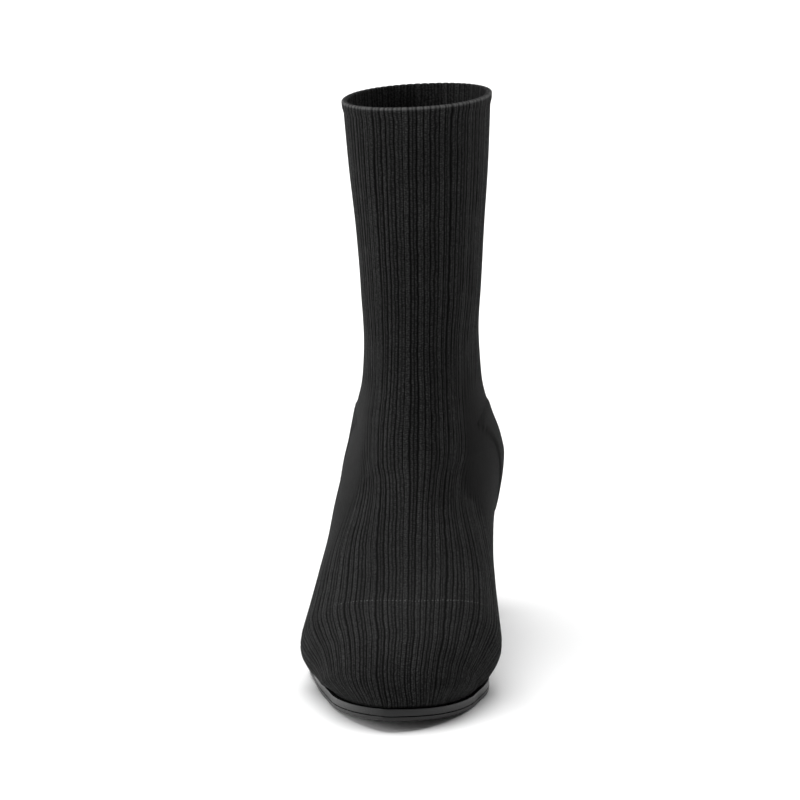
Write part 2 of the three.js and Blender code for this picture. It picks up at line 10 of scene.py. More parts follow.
import bpy
import numpy as np
from mathutils import Euler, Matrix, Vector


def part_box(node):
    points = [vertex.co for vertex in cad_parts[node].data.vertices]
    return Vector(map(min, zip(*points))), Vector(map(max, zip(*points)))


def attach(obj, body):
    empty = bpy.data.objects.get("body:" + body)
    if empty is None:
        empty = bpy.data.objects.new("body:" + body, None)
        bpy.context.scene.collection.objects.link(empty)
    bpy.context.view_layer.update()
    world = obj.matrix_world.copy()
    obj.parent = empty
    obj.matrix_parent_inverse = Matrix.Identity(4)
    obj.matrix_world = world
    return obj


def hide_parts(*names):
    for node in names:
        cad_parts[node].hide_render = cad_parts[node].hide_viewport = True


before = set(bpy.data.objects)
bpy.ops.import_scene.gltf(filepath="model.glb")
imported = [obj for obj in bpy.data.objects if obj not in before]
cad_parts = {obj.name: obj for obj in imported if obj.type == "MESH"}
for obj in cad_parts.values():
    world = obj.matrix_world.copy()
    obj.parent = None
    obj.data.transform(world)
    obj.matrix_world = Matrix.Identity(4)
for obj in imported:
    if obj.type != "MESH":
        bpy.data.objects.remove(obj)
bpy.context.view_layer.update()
LOG = logging.getLogger("sock_boot")
MM = 0.001


class Side(Enum):
    """A side of the boot, with the sign of its X."""

    LATERAL = -1
    MEDIAL = 1


class SolePlace(NamedTuple):
    """A place of the sole's line: share of the foot, of the seat's rise and of the toe spring."""

    place: float
    rise: float
    spring: float


class EdgePlace(NamedTuple):
    """A place of the outline and its half width, as shares of the foot's length and the ball's width."""

    place: float
    half: float


class ShaftSection(NamedTuple):
    """A closed ring of the shaft, in shares of the named sizes."""

    front: float
    front_up: float
    back: float
    back_up: float
    lateral: float
    medial: float
    widest: float
    lower: float
    upper: float
    lean: float
    roll: float
    bend: float


class FootSection(NamedTuple):
    """A ring of the foot that stands on the sole, in shares of the named sizes."""

    front: float
    front_up: float
    base: float
    lateral: float
    medial: float
    widest: float
    lower: float
    upper: float
    lean: float
    bend: float


SOLE_LINE = (
    SolePlace(-0.03, 1.012, 0),
    SolePlace(0.00, 1.000, 0),
    SolePlace(0.10, 0.966, 0),
    SolePlace(0.20, 0.896, 0),
    SolePlace(0.30, 0.762, 0),
    SolePlace(0.40, 0.572, 0),
    SolePlace(0.50, 0.360, 0),
    SolePlace(0.60, 0.160, 0),
    SolePlace(0.68, 0.036, 0),
    SolePlace(0.73, 0.000, 0),
    SolePlace(0.80, 0.000, 0),
    SolePlace(0.86, 0.000, 0.14),
    SolePlace(0.93, 0.000, 0.50),
    SolePlace(1.00, 0.000, 1.00),
)
LATERAL_OUTLINE = (
    EdgePlace(0.13, 0.355),
    EdgePlace(0.22, 0.352),
    EdgePlace(0.32, 0.341),
    EdgePlace(0.42, 0.348),
    EdgePlace(0.52, 0.400),
    EdgePlace(0.58, 0.442),
    EdgePlace(0.62, 0.446),
    EdgePlace(0.66, 0.424),
    EdgePlace(0.70, 0.381),
    EdgePlace(0.76, 0.328),
    EdgePlace(0.82, 0.267),
)
MEDIAL_OUTLINE = (
    EdgePlace(0.13, 0.355),
    EdgePlace(0.22, 0.345),
    EdgePlace(0.32, 0.312),
    EdgePlace(0.42, 0.290),
    EdgePlace(0.52, 0.322),
    EdgePlace(0.60, 0.405),
    EdgePlace(0.66, 0.470),
    EdgePlace(0.71, 0.488),
    EdgePlace(0.75, 0.478),
    EdgePlace(0.80, 0.452),
)
SHAFT_SECTIONS = (
    ShaftSection(0.410, 0.999, 0.045, 0.993, 0.385, 0.376, 0.50, 2.15, 2.15, 0.000, 0.045, 0.00),
    ShaftSection(0.402, 0.843, 0.045, 0.838, 0.358, 0.362, 0.50, 2.15, 2.15, 0.000, 0.025, 0.00),
    ShaftSection(0.394, 0.686, 0.047, 0.676, 0.322, 0.338, 0.50, 2.15, 2.15, 0.000, 0.010, 0.00),
    ShaftSection(0.388, 0.554, 0.052, 0.538, 0.302, 0.322, 0.50, 2.10, 2.10, 0.000, 0.000, 0.00),
    ShaftSection(0.392, 0.441, 0.050, 0.412, 0.293, 0.304, 0.48, 2.05, 2.05, 0.000, 0.000, 0.15),
    ShaftSection(0.416, 0.343, 0.032, 0.289, 0.316, 0.308, 0.46, 1.80, 2.10, 0.010, 0.000, 0.40),
    ShaftSection(0.452, 0.265, 0.008, 0.176, 0.368, 0.336, 0.45, 1.50, 2.15, 0.020, 0.000, 0.70),
    ShaftSection(0.487, 0.208, -0.005, 0.083, 0.406, 0.372, 0.44, 1.34, 2.15, 0.030, 0.000, 0.90),
)
FOOT_SECTIONS = (
    FootSection(0.514, 0.868, 0.000, 0.426, 0.392, 0.44, 1.26, 2.15, 0.035, 1.00),
    FootSection(0.550, 0.820, 0.110, 0.440, 0.402, 0.34, 1.60, 2.15, 0.040, 1.00),
    FootSection(0.590, 0.762, 0.250, 0.440, 0.405, 0.28, 1.80, 2.15, 0.040, 0.95),
    FootSection(0.632, 0.712, 0.390, 0.434, 0.432, 0.27, 1.90, 2.10, 0.040, 0.80),
    FootSection(0.680, 0.665, 0.510, 0.446, 0.474, 0.27, 1.90, 2.10, 0.042, 0.60),
    FootSection(0.738, 0.605, 0.610, 0.458, 0.518, 0.27, 2.00, 2.15, 0.046, 0.40),
    FootSection(0.805, 0.532, 0.685, 0.468, 0.548, 0.26, 2.00, 2.20, 0.048, 0.25),
    FootSection(0.870, 0.458, 0.735, 0.425, 0.520, 0.23, 2.00, 2.20, 0.050, 0.15),
    FootSection(0.930, 0.350, 0.770, 0.362, 0.484, 0.18, 2.00, 2.20, 0.052, 0.08),
    FootSection(0.975, 0.218, 0.790, 0.325, 0.444, 0.12, 2.00, 2.22, 0.054, 0.03),
    FootSection(0.996, 0.095, 0.798, 0.313, 0.424, 0.05, 2.00, 2.24, 0.055, 0.00),
    FootSection(1.000, 0.000, 0.800, 0.362, 0.462, 0.00, 2.00, 2.25, 0.055, 0.00),
)
FIRST_OPEN = len(SHAFT_SECTIONS)
LAST_SECTION = len(SHAFT_SECTIONS) + len(FOOT_SECTIONS) - 1


def smooth(t: np.ndarray | float) -> np.ndarray | float:
    """Eases from 0 at t = 0 to 1 at t = 1."""
    t = np.clip(t, 0.0, 1.0)
    return t * t * (3.0 - 2.0 * t)


def unit(vectors: np.ndarray) -> np.ndarray:
    """Gives vectors the length 1."""
    return vectors / np.maximum(np.linalg.norm(vectors, axis=-1, keepdims=True), 1e-12)


class TableCurve:
    """A smooth curve through a table's rows that never swings past a row."""

    def __init__(self, places: Sequence[float], values: Sequence[float]) -> None:
        """Works out the slope at each row.

        Args:
            places: Rising places of the rows.
            values: The rows' values.
        """
        self.places = np.asarray(places, float)
        self.values = np.asarray(values, float)
        spans = np.diff(self.places)
        rates = np.diff(self.values) / spans
        before, after = spans[:-1], spans[1:]
        early, late = 2 * after + before, after + 2 * before
        turns = rates[:-1] * rates[1:] <= 0
        safe = np.where(turns, 1.0, rates[:-1]), np.where(turns, 1.0, rates[1:])
        mean = (early + late) / (early / safe[0] + late / safe[1])
        self.slopes = np.concatenate([[rates[0]], np.where(turns, 0.0, mean), [rates[-1]]])

    def __call__(self, place: np.ndarray | float) -> np.ndarray:
        """Reads the curve.

        Args:
            place: One place or an array of them.

        Returns:
            The values there.
        """
        at = np.clip(place, self.places[0], self.places[-1])
        i = np.clip(np.searchsorted(self.places, at, side="right") - 1, 0, len(self.places) - 2)
        span = self.places[i + 1] - self.places[i]
        t = (at - self.places[i]) / span
        start = (1 + 2 * t) * (1 - t) ** 2 * self.values[i] + t * (1 - t) ** 2 * span * self.slopes[i]
        end = t * t * (3 - 2 * t) * self.values[i + 1] + t * t * (t - 1) * span * self.slopes[i + 1]
        return start + end


def column(rows: Sequence[NamedTuple], name: str) -> list[float]:
    """Lists one column of a table."""
    return [getattr(row, name) for row in rows]


@dataclass
class LastShape:
    """The last's sizes in millimetres, and every height, outline and ring that follows from them."""

    foot_length: float = 241.0
    ball_width: float = 92.0
    seat_height: float = 56.0
    shaft_height: float = 204.0
    instep_height: float = 80.0
    toe_spring: float = 5.5
    outsole_thickness: float = 1.8
    midsole_thickness: float = 3.3
    clearance: float = 0.3
    heel_roundness: float = 2.3
    toe_roundness: dict[Side, float] = field(default_factory=lambda: {Side.LATERAL: 1.0, Side.MEDIAL: 1.5})
    toe_tip_roundness: float = 1.8
    toe_tip_side: float = 0.080
    toe_sections: float = 2.0
    profile_points: int = 120
    shift_x: float = 0.0
    shift_y: float = 0.0

    def __post_init__(self) -> None:
        """Prepares the curves through the tables."""
        places = column(SOLE_LINE, "place")
        self.rise = TableCurve(places, column(SOLE_LINE, "rise"))
        self.spring = TableCurve(places, column(SOLE_LINE, "spring"))
        self.rows = {Side.LATERAL: LATERAL_OUTLINE, Side.MEDIAL: MEDIAL_OUTLINE}
        self.half_curves = {
            side: TableCurve(column(rows, "place"), column(rows, "half")) for side, rows in self.rows.items()
        }
        self.section_curves = self.prepare_sections()

    def prepare_sections(self) -> dict[str, TableCurve]:
        """Turns the two tables of sections into curves over the section's number.

        Returns:
            One curve for each value of a ring, in millimetres where it is a place or a height.
        """
        length = self.foot_length
        shaft, foot = SHAFT_SECTIONS, FOOT_SECTIONS
        fronts = np.array(column(shaft, "front") + column(foot, "front")) * length
        shaft_fronts = self.seat_height + np.array(column(shaft, "front_up")) * self.shaft_height
        rises = np.array(column(foot, "front_up")) * self.instep_height
        foot_fronts = self.feather(fronts[FIRST_OPEN:]) + rises
        bases = np.array(column(shaft, "back") + column(foot, "base")) * length
        shaft_bases = self.seat_height + np.array(column(shaft, "back_up")) * self.shaft_height
        values = {
            "front_along": fronts,
            "front_height": np.concatenate([shaft_fronts, foot_fronts]),
            "base_along": bases,
            "base_height": np.concatenate([shaft_bases, self.feather(bases[FIRST_OPEN:])]),
            "roll": column(shaft, "roll") + [0.0] * len(foot),
        }
        for name in ("lateral", "medial", "widest", "lower", "upper", "lean", "bend"):
            values[name] = column(shaft, name) + column(foot, name)
        numbers = np.arange(LAST_SECTION + 1)
        return {name: TableCurve(numbers, value) for name, value in values.items()}

    def sole_under(self, along: np.ndarray) -> np.ndarray:
        """Height of the outsole's underside."""
        share = np.asarray(along) / self.foot_length
        stack = self.outsole_thickness + self.clearance + self.midsole_thickness
        return (self.seat_height - stack) * self.rise(share) + self.toe_spring * self.spring(share)

    def outsole_top(self, along: np.ndarray) -> np.ndarray:
        """Height of the outsole's upper face."""
        return self.sole_under(along) + self.outsole_thickness

    def midsole_under(self, along: np.ndarray) -> np.ndarray:
        """Height of the midsole's underside."""
        return self.outsole_top(along) + self.clearance

    def midsole_top(self, along: np.ndarray) -> np.ndarray:
        """Height of the midsole's upper face."""
        return self.midsole_under(along) + self.midsole_thickness

    def feather(self, along: np.ndarray) -> np.ndarray:
        """Height of the feather line, where the upper meets the sole."""
        return self.midsole_top(along) + self.clearance

    def edge(self, side: Side, along: np.ndarray | float) -> np.ndarray:
        """Half width of the feather line.

        Args:
            side: The side of the boot.
            along: Distances from the heel's back.

        Returns:
            The half widths, never negative.
        """
        rows = self.rows[side]
        place = np.clip(np.asarray(along, float) / self.foot_length, 0.0, 1.0)
        heel, toe = rows[0], rows[-1]
        behind = np.clip((heel.place - place) / heel.place, 0.0, 1.0)
        ahead = np.clip((place - toe.place) / (1.0 - toe.place), 0.0, 1.0)
        round_heel = (1 - behind**self.heel_roundness) ** (1 / self.heel_roundness)
        round_toe = (1 - ahead ** self.toe_roundness[side]) ** (1 / self.toe_tip_roundness)
        tip = side.value * self.toe_tip_side * ahead**2
        return self.ball_width * (self.half_curves[side](place) * round_heel * round_toe + tip)

    def half_ring(self, station: float, side: Side) -> tuple[np.ndarray, np.ndarray]:
        """Lays one side of a ring.

        Args:
            station: The section's number, with its fraction.
            side: The side of the boot.

        Returns:
            Close points from the ring's front to its base or back, as x, distance from the heel's back and
            height, and how far along the ring each one lies.
        """
        row = {name: float(curve(station)) for name, curve in self.section_curves.items()}
        opened = station >= FIRST_OPEN
        base_along = max(row["base_along"], 0.0) if opened else row["base_along"]
        base = np.array([0.0, base_along, float(self.feather(base_along)) if opened else row["base_height"]])
        front = np.array([row["lean"] * self.ball_width, row["front_along"], row["front_height"]])
        base_width = float(self.edge(side, base_along)) if opened else 0.0
        width = max(row[side.name.lower()] * self.ball_width, base_width)
        widest = max(row["widest"], 1e-4)
        reach = max((1 - (base_width / width) ** row["lower"]) ** (1 / row["lower"]), 1e-4)
        turn = np.linspace(np.pi / 2, 0, self.profile_points + 1)
        share = widest + (1 - widest) * np.sin(turn) ** (2 / row["upper"])
        out = width * np.cos(turn) ** (2 / row["upper"])
        low = np.linspace(0, math.asin(min(reach ** (row["lower"] / 2), 1.0)), self.profile_points + 1)[1:]
        share = np.concatenate([share, widest * (1 - np.sin(low) ** (2 / row["lower"]) / reach)])
        out = np.concatenate([out, width * np.cos(low) ** (2 / row["lower"])])
        control = (base + front) / 2
        control += row["bend"] * (np.array([control[0], base[1], front[2]]) - control)
        s = share[:, None]
        points = (1 - s) ** 2 * base + 2 * s * (1 - s) * control + s**2 * front
        onto = smooth((station - LAST_SECTION) / self.toe_sections + 1)
        on_outline = side.value * self.edge(side, base_along + (self.foot_length - base_along) * share)
        points[:, 0] = (1 - onto) * (points[:, 0] + side.value * out) + onto * on_outline
        points[:, 2] += row["roll"] * points[:, 0]
        if station >= LAST_SECTION:
            points[:, 2] = self.feather(points[:, 1])
        steps = np.linalg.norm(np.diff(points, axis=0), axis=1)
        return points, np.concatenate([[0.0], np.cumsum(steps)])

    def ring(self, station: float, spread: Callable[[float, float, float], np.ndarray]) -> np.ndarray:
        """Lays a whole ring.

        Args:
            station: The section's number, with its fraction.
            spread: Gives the points' distances from the ring's front, negative on the lateral side, from the
                section's number and the lengths of the two sides.

        Returns:
            The points from the lateral base or back over the front to the medial one.
        """
        lateral, lateral_run = self.half_ring(station, Side.LATERAL)
        medial, medial_run = self.half_ring(station, Side.MEDIAL)
        path = np.concatenate([lateral[::-1], medial[1:]])
        run = np.concatenate([-lateral_run[::-1], medial_run[1:]])
        at = spread(station, lateral_run[-1], medial_run[-1])
        return np.stack([np.interp(at, run, path[:, k]) for k in range(3)], axis=1)

    def to_world(self, points: np.ndarray) -> np.ndarray:
        """Moves points from the last's own axes to the boot's, in metres."""
        x, along, height = points[..., 0], points[..., 1], points[..., 2]
        return np.stack([x + self.shift_x, self.shift_y - along, height], axis=-1) * MM

    def settle(self, outsole_node: str, sole_edge: float) -> None:
        """Finds where the last stands in the boot's frame from the outsole's box.

        Args:
            outsole_node: The CAD node of the outsole.
            sole_edge: How far the sole stands out beyond the feather line.
        """
        low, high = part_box(outsole_node)
        along = np.linspace(0, self.foot_length, 2001)
        self.shift_x = high.x / MM - sole_edge - float(self.edge(Side.MEDIAL, along).max())
        self.shift_y = high.y / MM - sole_edge


def deselect_all() -> None:
    """Leaves nothing selected."""
    if bpy.context.object and bpy.context.object.mode != "OBJECT":
        bpy.ops.object.mode_set(mode="OBJECT")
    bpy.ops.object.select_all(action="DESELECT")


def make_active(piece: bpy.types.Object) -> None:
    """Selects one piece alone and makes it the active one."""
    deselect_all()
    piece.select_set(True)
    bpy.context.view_layer.objects.active = piece


def apply_modifiers(piece: bpy.types.Object) -> None:
    """Applies every modifier of a piece in order."""
    make_active(piece)
    for modifier in list(piece.modifiers):
        bpy.ops.object.modifier_apply(modifier=modifier.name)


def read_points(piece: bpy.types.Object) -> np.ndarray:
    """Reads the vertex places of a piece.

    Args:
        piece: A mesh object.

    Returns:
        An array with one row for each vertex.
    """
    values = np.empty(len(piece.data.vertices) * 3)
    piece.data.vertices.foreach_get("co", values)
    return values.reshape(-1, 3)


def write_points(piece: bpy.types.Object, points: np.ndarray) -> None:
    """Places the vertices of a piece."""
    piece.data.vertices.foreach_set("co", np.ascontiguousarray(points, float).ravel())
    piece.data.update()


def finish_piece(
    piece: bpy.types.Object, node: str, materials: Sequence[bpy.types.Material]
) -> None:
    """Gives a piece its materials and ties it to the boot.

    Args:
        piece: The finished mesh object.
        node: The CAD node that it stands for.
        materials: The materials in the order of the faces' material numbers.
    """
    piece.data.materials.clear()
    for material in materials:
        piece.data.materials.append(material)
    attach(piece, "root")
    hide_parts(node)
    piece.data.calc_loop_triangles()
    LOG.info("%s: %d triangles", piece.name, len(piece.data.loop_triangles))


class Nodes:
    """Adds and links shader nodes in one tree."""

    def __init__(self, tree: bpy.types.NodeTree) -> None:
        """Keeps the tree.

        Args:
            tree: A material's or a group's node tree.
        """
        self.tree = tree

    def add(self, kind: str, inputs: dict | None = None, **settings: object) -> bpy.types.Node:
        """Adds a node.

        Args:
            kind: The node's type name.
            inputs: Values or sockets for its inputs, by name or number.
            settings: Properties of the node.

        Returns:
            The new node.
        """
        node = self.tree.nodes.new(kind)
        for name, value in settings.items():
            setattr(node, name, value)
        for name, value in (inputs or {}).items():
            socket = node.inputs[name]
            if isinstance(value, bpy.types.NodeSocket):
                self.tree.links.new(value, socket)
            else:
                socket.default_value = value
        return node

    def math(self, operation: str, *values: object, clamp: bool = False) -> bpy.types.NodeSocket:
        """Adds a Math node and gives its result."""
        node = self.add("ShaderNodeMath", dict(enumerate(values)), operation=operation, use_clamp=clamp)
        return node.outputs[0]

    def mix(self, factor: object, first: object, second: object) -> bpy.types.NodeSocket:
        """Adds a colour Mix node and gives its result."""
        node = self.add("ShaderNodeMix", {0: factor, 6: first, 7: second}, data_type="RGBA")
        return node.outputs[2]

    def ramp(
        self, value: object, low: float, high: float, to_low: float = 0.0, to_high: float = 1.0
    ) -> object:
        """Adds a smooth Map Range node and gives its result."""
        inputs = {"Value": value, "From Min": low, "From Max": high, "To Min": to_low, "To Max": to_high}
        node = self.add("ShaderNodeMapRange", inputs, interpolation_type="SMOOTHSTEP")
        return node.outputs["Result"]


def new_group(name: str, takes: dict[str, str], gives: dict[str, str]) -> tuple[bpy.types.NodeTree, Nodes]:
    """Starts a shader node group.

    Args:
        name: The group's name.
        takes: Input names and socket types.
        gives: Output names and socket types.

    Returns:
        The group's tree and its node adder.
    """
    tree = bpy.data.node_groups.new(name, "ShaderNodeTree")
    for label, kind in takes.items():
        tree.interface.new_socket(label, in_out="INPUT", socket_type=kind)
    for label, kind in gives.items():
        tree.interface.new_socket(label, in_out="OUTPUT", socket_type=kind)
    return tree, Nodes(tree)


FLOAT = "NodeSocketFloat"
VECTOR = "NodeSocketVector"


class SharedEffects:
    """Node groups that more than one finish uses."""

    def __init__(self) -> None:
        """Builds every group once."""
        self.stitches = self.build_stitches()
        self.flecks = self.build_flecks()

    @staticmethod
    def build_stitches() -> bpy.types.NodeTree:
        """Builds the knit: ribs by their number, with small slanted stitches along them.

        Returns:
            A group with the crest mask and the stitch height.
        """
        takes = {"Rib": FLOAT, "Run": FLOAT, "Plain": FLOAT, "Stitch": FLOAT, "Place": VECTOR}
        tree, nodes = new_group("knit stitches", takes, {"Crest": FLOAT, "Stitch": FLOAT})
        inside = nodes.add("NodeGroupInput")
        place = inside.outputs["Place"]
        sway = nodes.add("ShaderNodeTexNoise", {"Vector": place, "Scale": 110.0, "Detail": 2.0})
        sway = nodes.math("MULTIPLY", nodes.math("SUBTRACT", sway.outputs[0], 0.5), 0.36)
        rib = nodes.math("ADD", inside.outputs["Rib"], sway)
        place = nodes.math("FRACT", rib)
        turn = nodes.math("MULTIPLY", nodes.math("FLOOR", rib), 2.37)
        pick = nodes.math("MULTIPLY", nodes.math("SINE", turn), 0.5)
        pick = nodes.math("ADD", 0.5, pick)
        off = nodes.math("ABSOLUTE", nodes.math("SUBTRACT", place, 0.5))
        crest = nodes.ramp(off, 0.48, 0.26)
        line = nodes.ramp(off, 0.02, 0.16)
        line = nodes.math("ADD", line, nodes.math("MULTIPLY", nodes.math("SUBTRACT", 1.0, line), nodes.math(
            "ADD", 0.1, nodes.math("MULTIPLY", pick, 0.6))))
        crest = nodes.math("MULTIPLY", crest, line)
        crest = nodes.math("MULTIPLY", crest, nodes.math("ADD", 0.78, nodes.math("MULTIPLY", pick, 0.3)))
        slant = nodes.math("MULTIPLY", off, 1.6)
        step = nodes.math("ADD", nodes.math("DIVIDE", inside.outputs["Run"], inside.outputs["Stitch"]), slant)
        wave = nodes.math("SINE", nodes.math("MULTIPLY", step, 2 * math.pi))
        stitch = nodes.ramp(wave, -0.8, 0.6)
        quiet = nodes.math("SUBTRACT", 1.0, inside.outputs["Plain"])
        nodes.add("NodeGroupOutput", {"Crest": nodes.math("MULTIPLY", crest, quiet), "Stitch": stitch})
        return tree

    @staticmethod
    def build_flecks() -> bpy.types.NodeTree:
        """Builds fine uneven flecks, such as fibre ends or dust.

        Returns:
            A group that gives a soft broad tone and a fine fleck, both from 0 to 1.
        """
        takes = {"Place": VECTOR, "Fine": FLOAT, "Broad": FLOAT}
        tree, nodes = new_group("flecks", takes, {"Fleck": FLOAT, "Tone": FLOAT})
        inside = nodes.add("NodeGroupInput")
        fine = nodes.add(
            "ShaderNodeTexNoise",
            {
                "Vector": inside.outputs["Place"],
                "Scale": inside.outputs["Fine"],
                "Detail": 3.0,
                "Roughness": 0.6,
            },
        )
        broad = nodes.add(
            "ShaderNodeTexNoise",
            {"Vector": inside.outputs["Place"], "Scale": inside.outputs["Broad"], "Detail": 2.0},
        )
        fleck = nodes.ramp(fine.outputs[0], 0.35, 0.70)
        tone = nodes.ramp(broad.outputs[0], 0.30, 0.70)
        nodes.add("NodeGroupOutput", {"Fleck": fleck, "Tone": tone})
        return tree


@dataclass(frozen=True)
class KnitFinish:
    """Black ribbed knit: furrows with painted shade, grey crests, fine stitches and fibre flecks; painted
    light on the inner wall and the collar rim, painted shade on the medial plain knit.
    """

    name: str = "black ribbed knit"
    # Painted shade: the near-black colour of the furrows between the ribs, where shade falls.
    painted_furrow_shade: tuple[float, float, float, float] = (0.0004, 0.0004, 0.0004, 1.0)
    crest: tuple[float, float, float, float] = (0.0275, 0.0278, 0.0278, 1.0)
    plain: tuple[float, float, float, float] = (0.0120, 0.0120, 0.0121, 1.0)
    # Painted highlight: the pale colour of the rolled collar rim's outer top edge, where it catches the
    # light.
    rim: tuple[float, float, float, float] = (0.095, 0.095, 0.095, 1.0)
    stitch_mm: float = 1.15
    roughness: float = 0.9
    line_station: float = 14.0
    line_gain: float = 3.4
    # Painted light: how much lighter the inner wall's colour is made, for light that reaches inside the
    # shaft.
    inner_wall_painted_light: float = 1.4
    # Painted shade: how much the plain knit on the medial side is darkened, as shade that falls there.
    medial_painted_shade: float = 0.75

    def build(self, effects: SharedEffects) -> bpy.types.Material:
        """Makes the material.

        Args:
            effects: The shared node groups.

        Returns:
            The finished material.
        """
        material = bpy.data.materials.new(self.name)
        material.use_nodes = True
        nodes = Nodes(material.node_tree)
        shader = material.node_tree.nodes["Principled BSDF"]
        where = nodes.add("ShaderNodeTexCoord").outputs["Object"]
        knit = nodes.add("ShaderNodeUVMap", uv_map="knit")
        parts = nodes.add("ShaderNodeSeparateXYZ", {0: knit.outputs["UV"]})
        rib, run = parts.outputs["X"], parts.outputs["Y"]
        plain, counter, station, rim = (
            nodes.add("ShaderNodeAttribute", attribute_name=name).outputs["Fac"]
            for name in ("plain", "counter", "station", "rim")
        )
        stitches = nodes.add("ShaderNodeGroup", node_tree=effects.stitches)
        for label, source in (("Rib", rib), ("Run", run), ("Plain", plain), ("Place", where)):
            nodes.tree.links.new(source, stitches.inputs[label])
        stitches.inputs["Stitch"].default_value = self.stitch_mm
        flecks = nodes.add("ShaderNodeGroup", node_tree=effects.flecks)
        nodes.tree.links.new(where, flecks.inputs["Place"])
        flecks.inputs["Fine"].default_value = 1300.0
        flecks.inputs["Broad"].default_value = 45.0
        crest, stitch = stitches.outputs["Crest"], stitches.outputs["Stitch"]
        fleck, tone = flecks.outputs["Fleck"], flecks.outputs["Tone"]
        lit = nodes.math("MULTIPLY", crest, nodes.math("ADD", 0.62, nodes.math("MULTIPLY", stitch, 0.38)))
        # Painted shade: the furrows between the ribs take the near-black furrow colour, and the crests keep
        # their grey.
        ribbed = nodes.mix(lit, self.painted_furrow_shade, self.crest)
        colour = nodes.mix(plain, ribbed, self.plain)
        gain = nodes.math("ADD", 0.45, nodes.math("MULTIPLY", fleck, 1.1))
        gain = nodes.math("MULTIPLY", gain, nodes.math("ADD", 0.88, nodes.math("MULTIPLY", tone, 0.2)))
        seam = self.line(nodes, counter, 0.0, 0.45)
        gain = nodes.math("MULTIPLY", gain, nodes.math("SUBTRACT", 1.0, nodes.math("MULTIPLY", seam, 0.9)))
        rising = nodes.math("MULTIPLY", nodes.math("MAXIMUM", nodes.math("SUBTRACT", rib, 40.0), 0.0), 0.045)
        course = self.line(nodes, nodes.math("ADD", station, rising), self.line_station, 0.034)
        dots = nodes.ramp(nodes.math("SINE", nodes.math("MULTIPLY", rib, 4 * math.pi)), -0.3, 0.5)
        near = nodes.ramp(nodes.math("ABSOLUTE", nodes.math("SUBTRACT", rib, 40.0)), 15.0, 9.0)
        dotted = nodes.math("MULTIPLY", nodes.math("MULTIPLY", course, dots), near)
        gain = nodes.math("ADD", gain, nodes.math("MULTIPLY", dotted, self.line_gain))
        # Painted light: rows on the inner wall, with a station below -2, are made lighter.
        within = nodes.ramp(station, -2.0, -4.0)
        inner_painted_light = nodes.math("ADD", 1.0, nodes.math("MULTIPLY", within, self.inner_wall_painted_light))
        gain = nodes.math("MULTIPLY", gain, inner_painted_light)
        # Painted shade: the plain knit is darkened towards the medial side, from about 2 to 24 mm in x.
        across = nodes.add("ShaderNodeSeparateXYZ", {0: where}).outputs["X"]
        painted_shade_strength = nodes.math("MULTIPLY", plain, self.medial_painted_shade)
        turned = nodes.math("MULTIPLY", nodes.ramp(across, 0.002, 0.024), painted_shade_strength)
        gain = nodes.math("MULTIPLY", gain, nodes.math("SUBTRACT", 1.0, turned))
        shade = nodes.add("ShaderNodeVectorMath", {0: colour, 3: gain}, operation="SCALE")
        # Painted highlight: the rim mark mixes the pale rim colour over the collar's outer edge, scalloped by
        # the ribs' crests.
        rim_highlight = nodes.math("MULTIPLY", rim, nodes.math("ADD", 0.35, nodes.math("MULTIPLY", crest, 0.65)))
        nodes.tree.links.new(nodes.mix(rim_highlight, shade.outputs[0], self.rim), shader.inputs["Base Color"])
        height = nodes.math("ADD", nodes.math("MULTIPLY", stitch, 0.6), nodes.math("MULTIPLY", fleck, 0.6))
        height = nodes.math("SUBTRACT", height, nodes.math("MULTIPLY", seam, 1.5))
        bump = nodes.add("ShaderNodeBump", {"Height": height, "Strength": 0.55, "Distance": 0.00022})
        nodes.tree.links.new(bump.outputs[0], shader.inputs["Normal"])
        shader.inputs["Roughness"].default_value = self.roughness
        shader.inputs["Specular IOR Level"].default_value = 0.08
        shader.inputs["Sheen Weight"].default_value = 0.03
        shader.inputs["Sheen Roughness"].default_value = 0.3
        return material

    @staticmethod
    def line(nodes: Nodes, value: object, at: float, width: float) -> bpy.types.NodeSocket:
        """Draws a soft line where a value passes a given one.

        Args:
            nodes: The material's node adder.
            value: The socket that runs across the line.
            at: The value on the line.
            width: Half of the line's width, in the value's unit.

        Returns:
            1 on the line and 0 away from it.
        """
        away = nodes.math("ABSOLUTE", nodes.math("SUBTRACT", value, at))
        return nodes.ramp(away, width, 0.0)


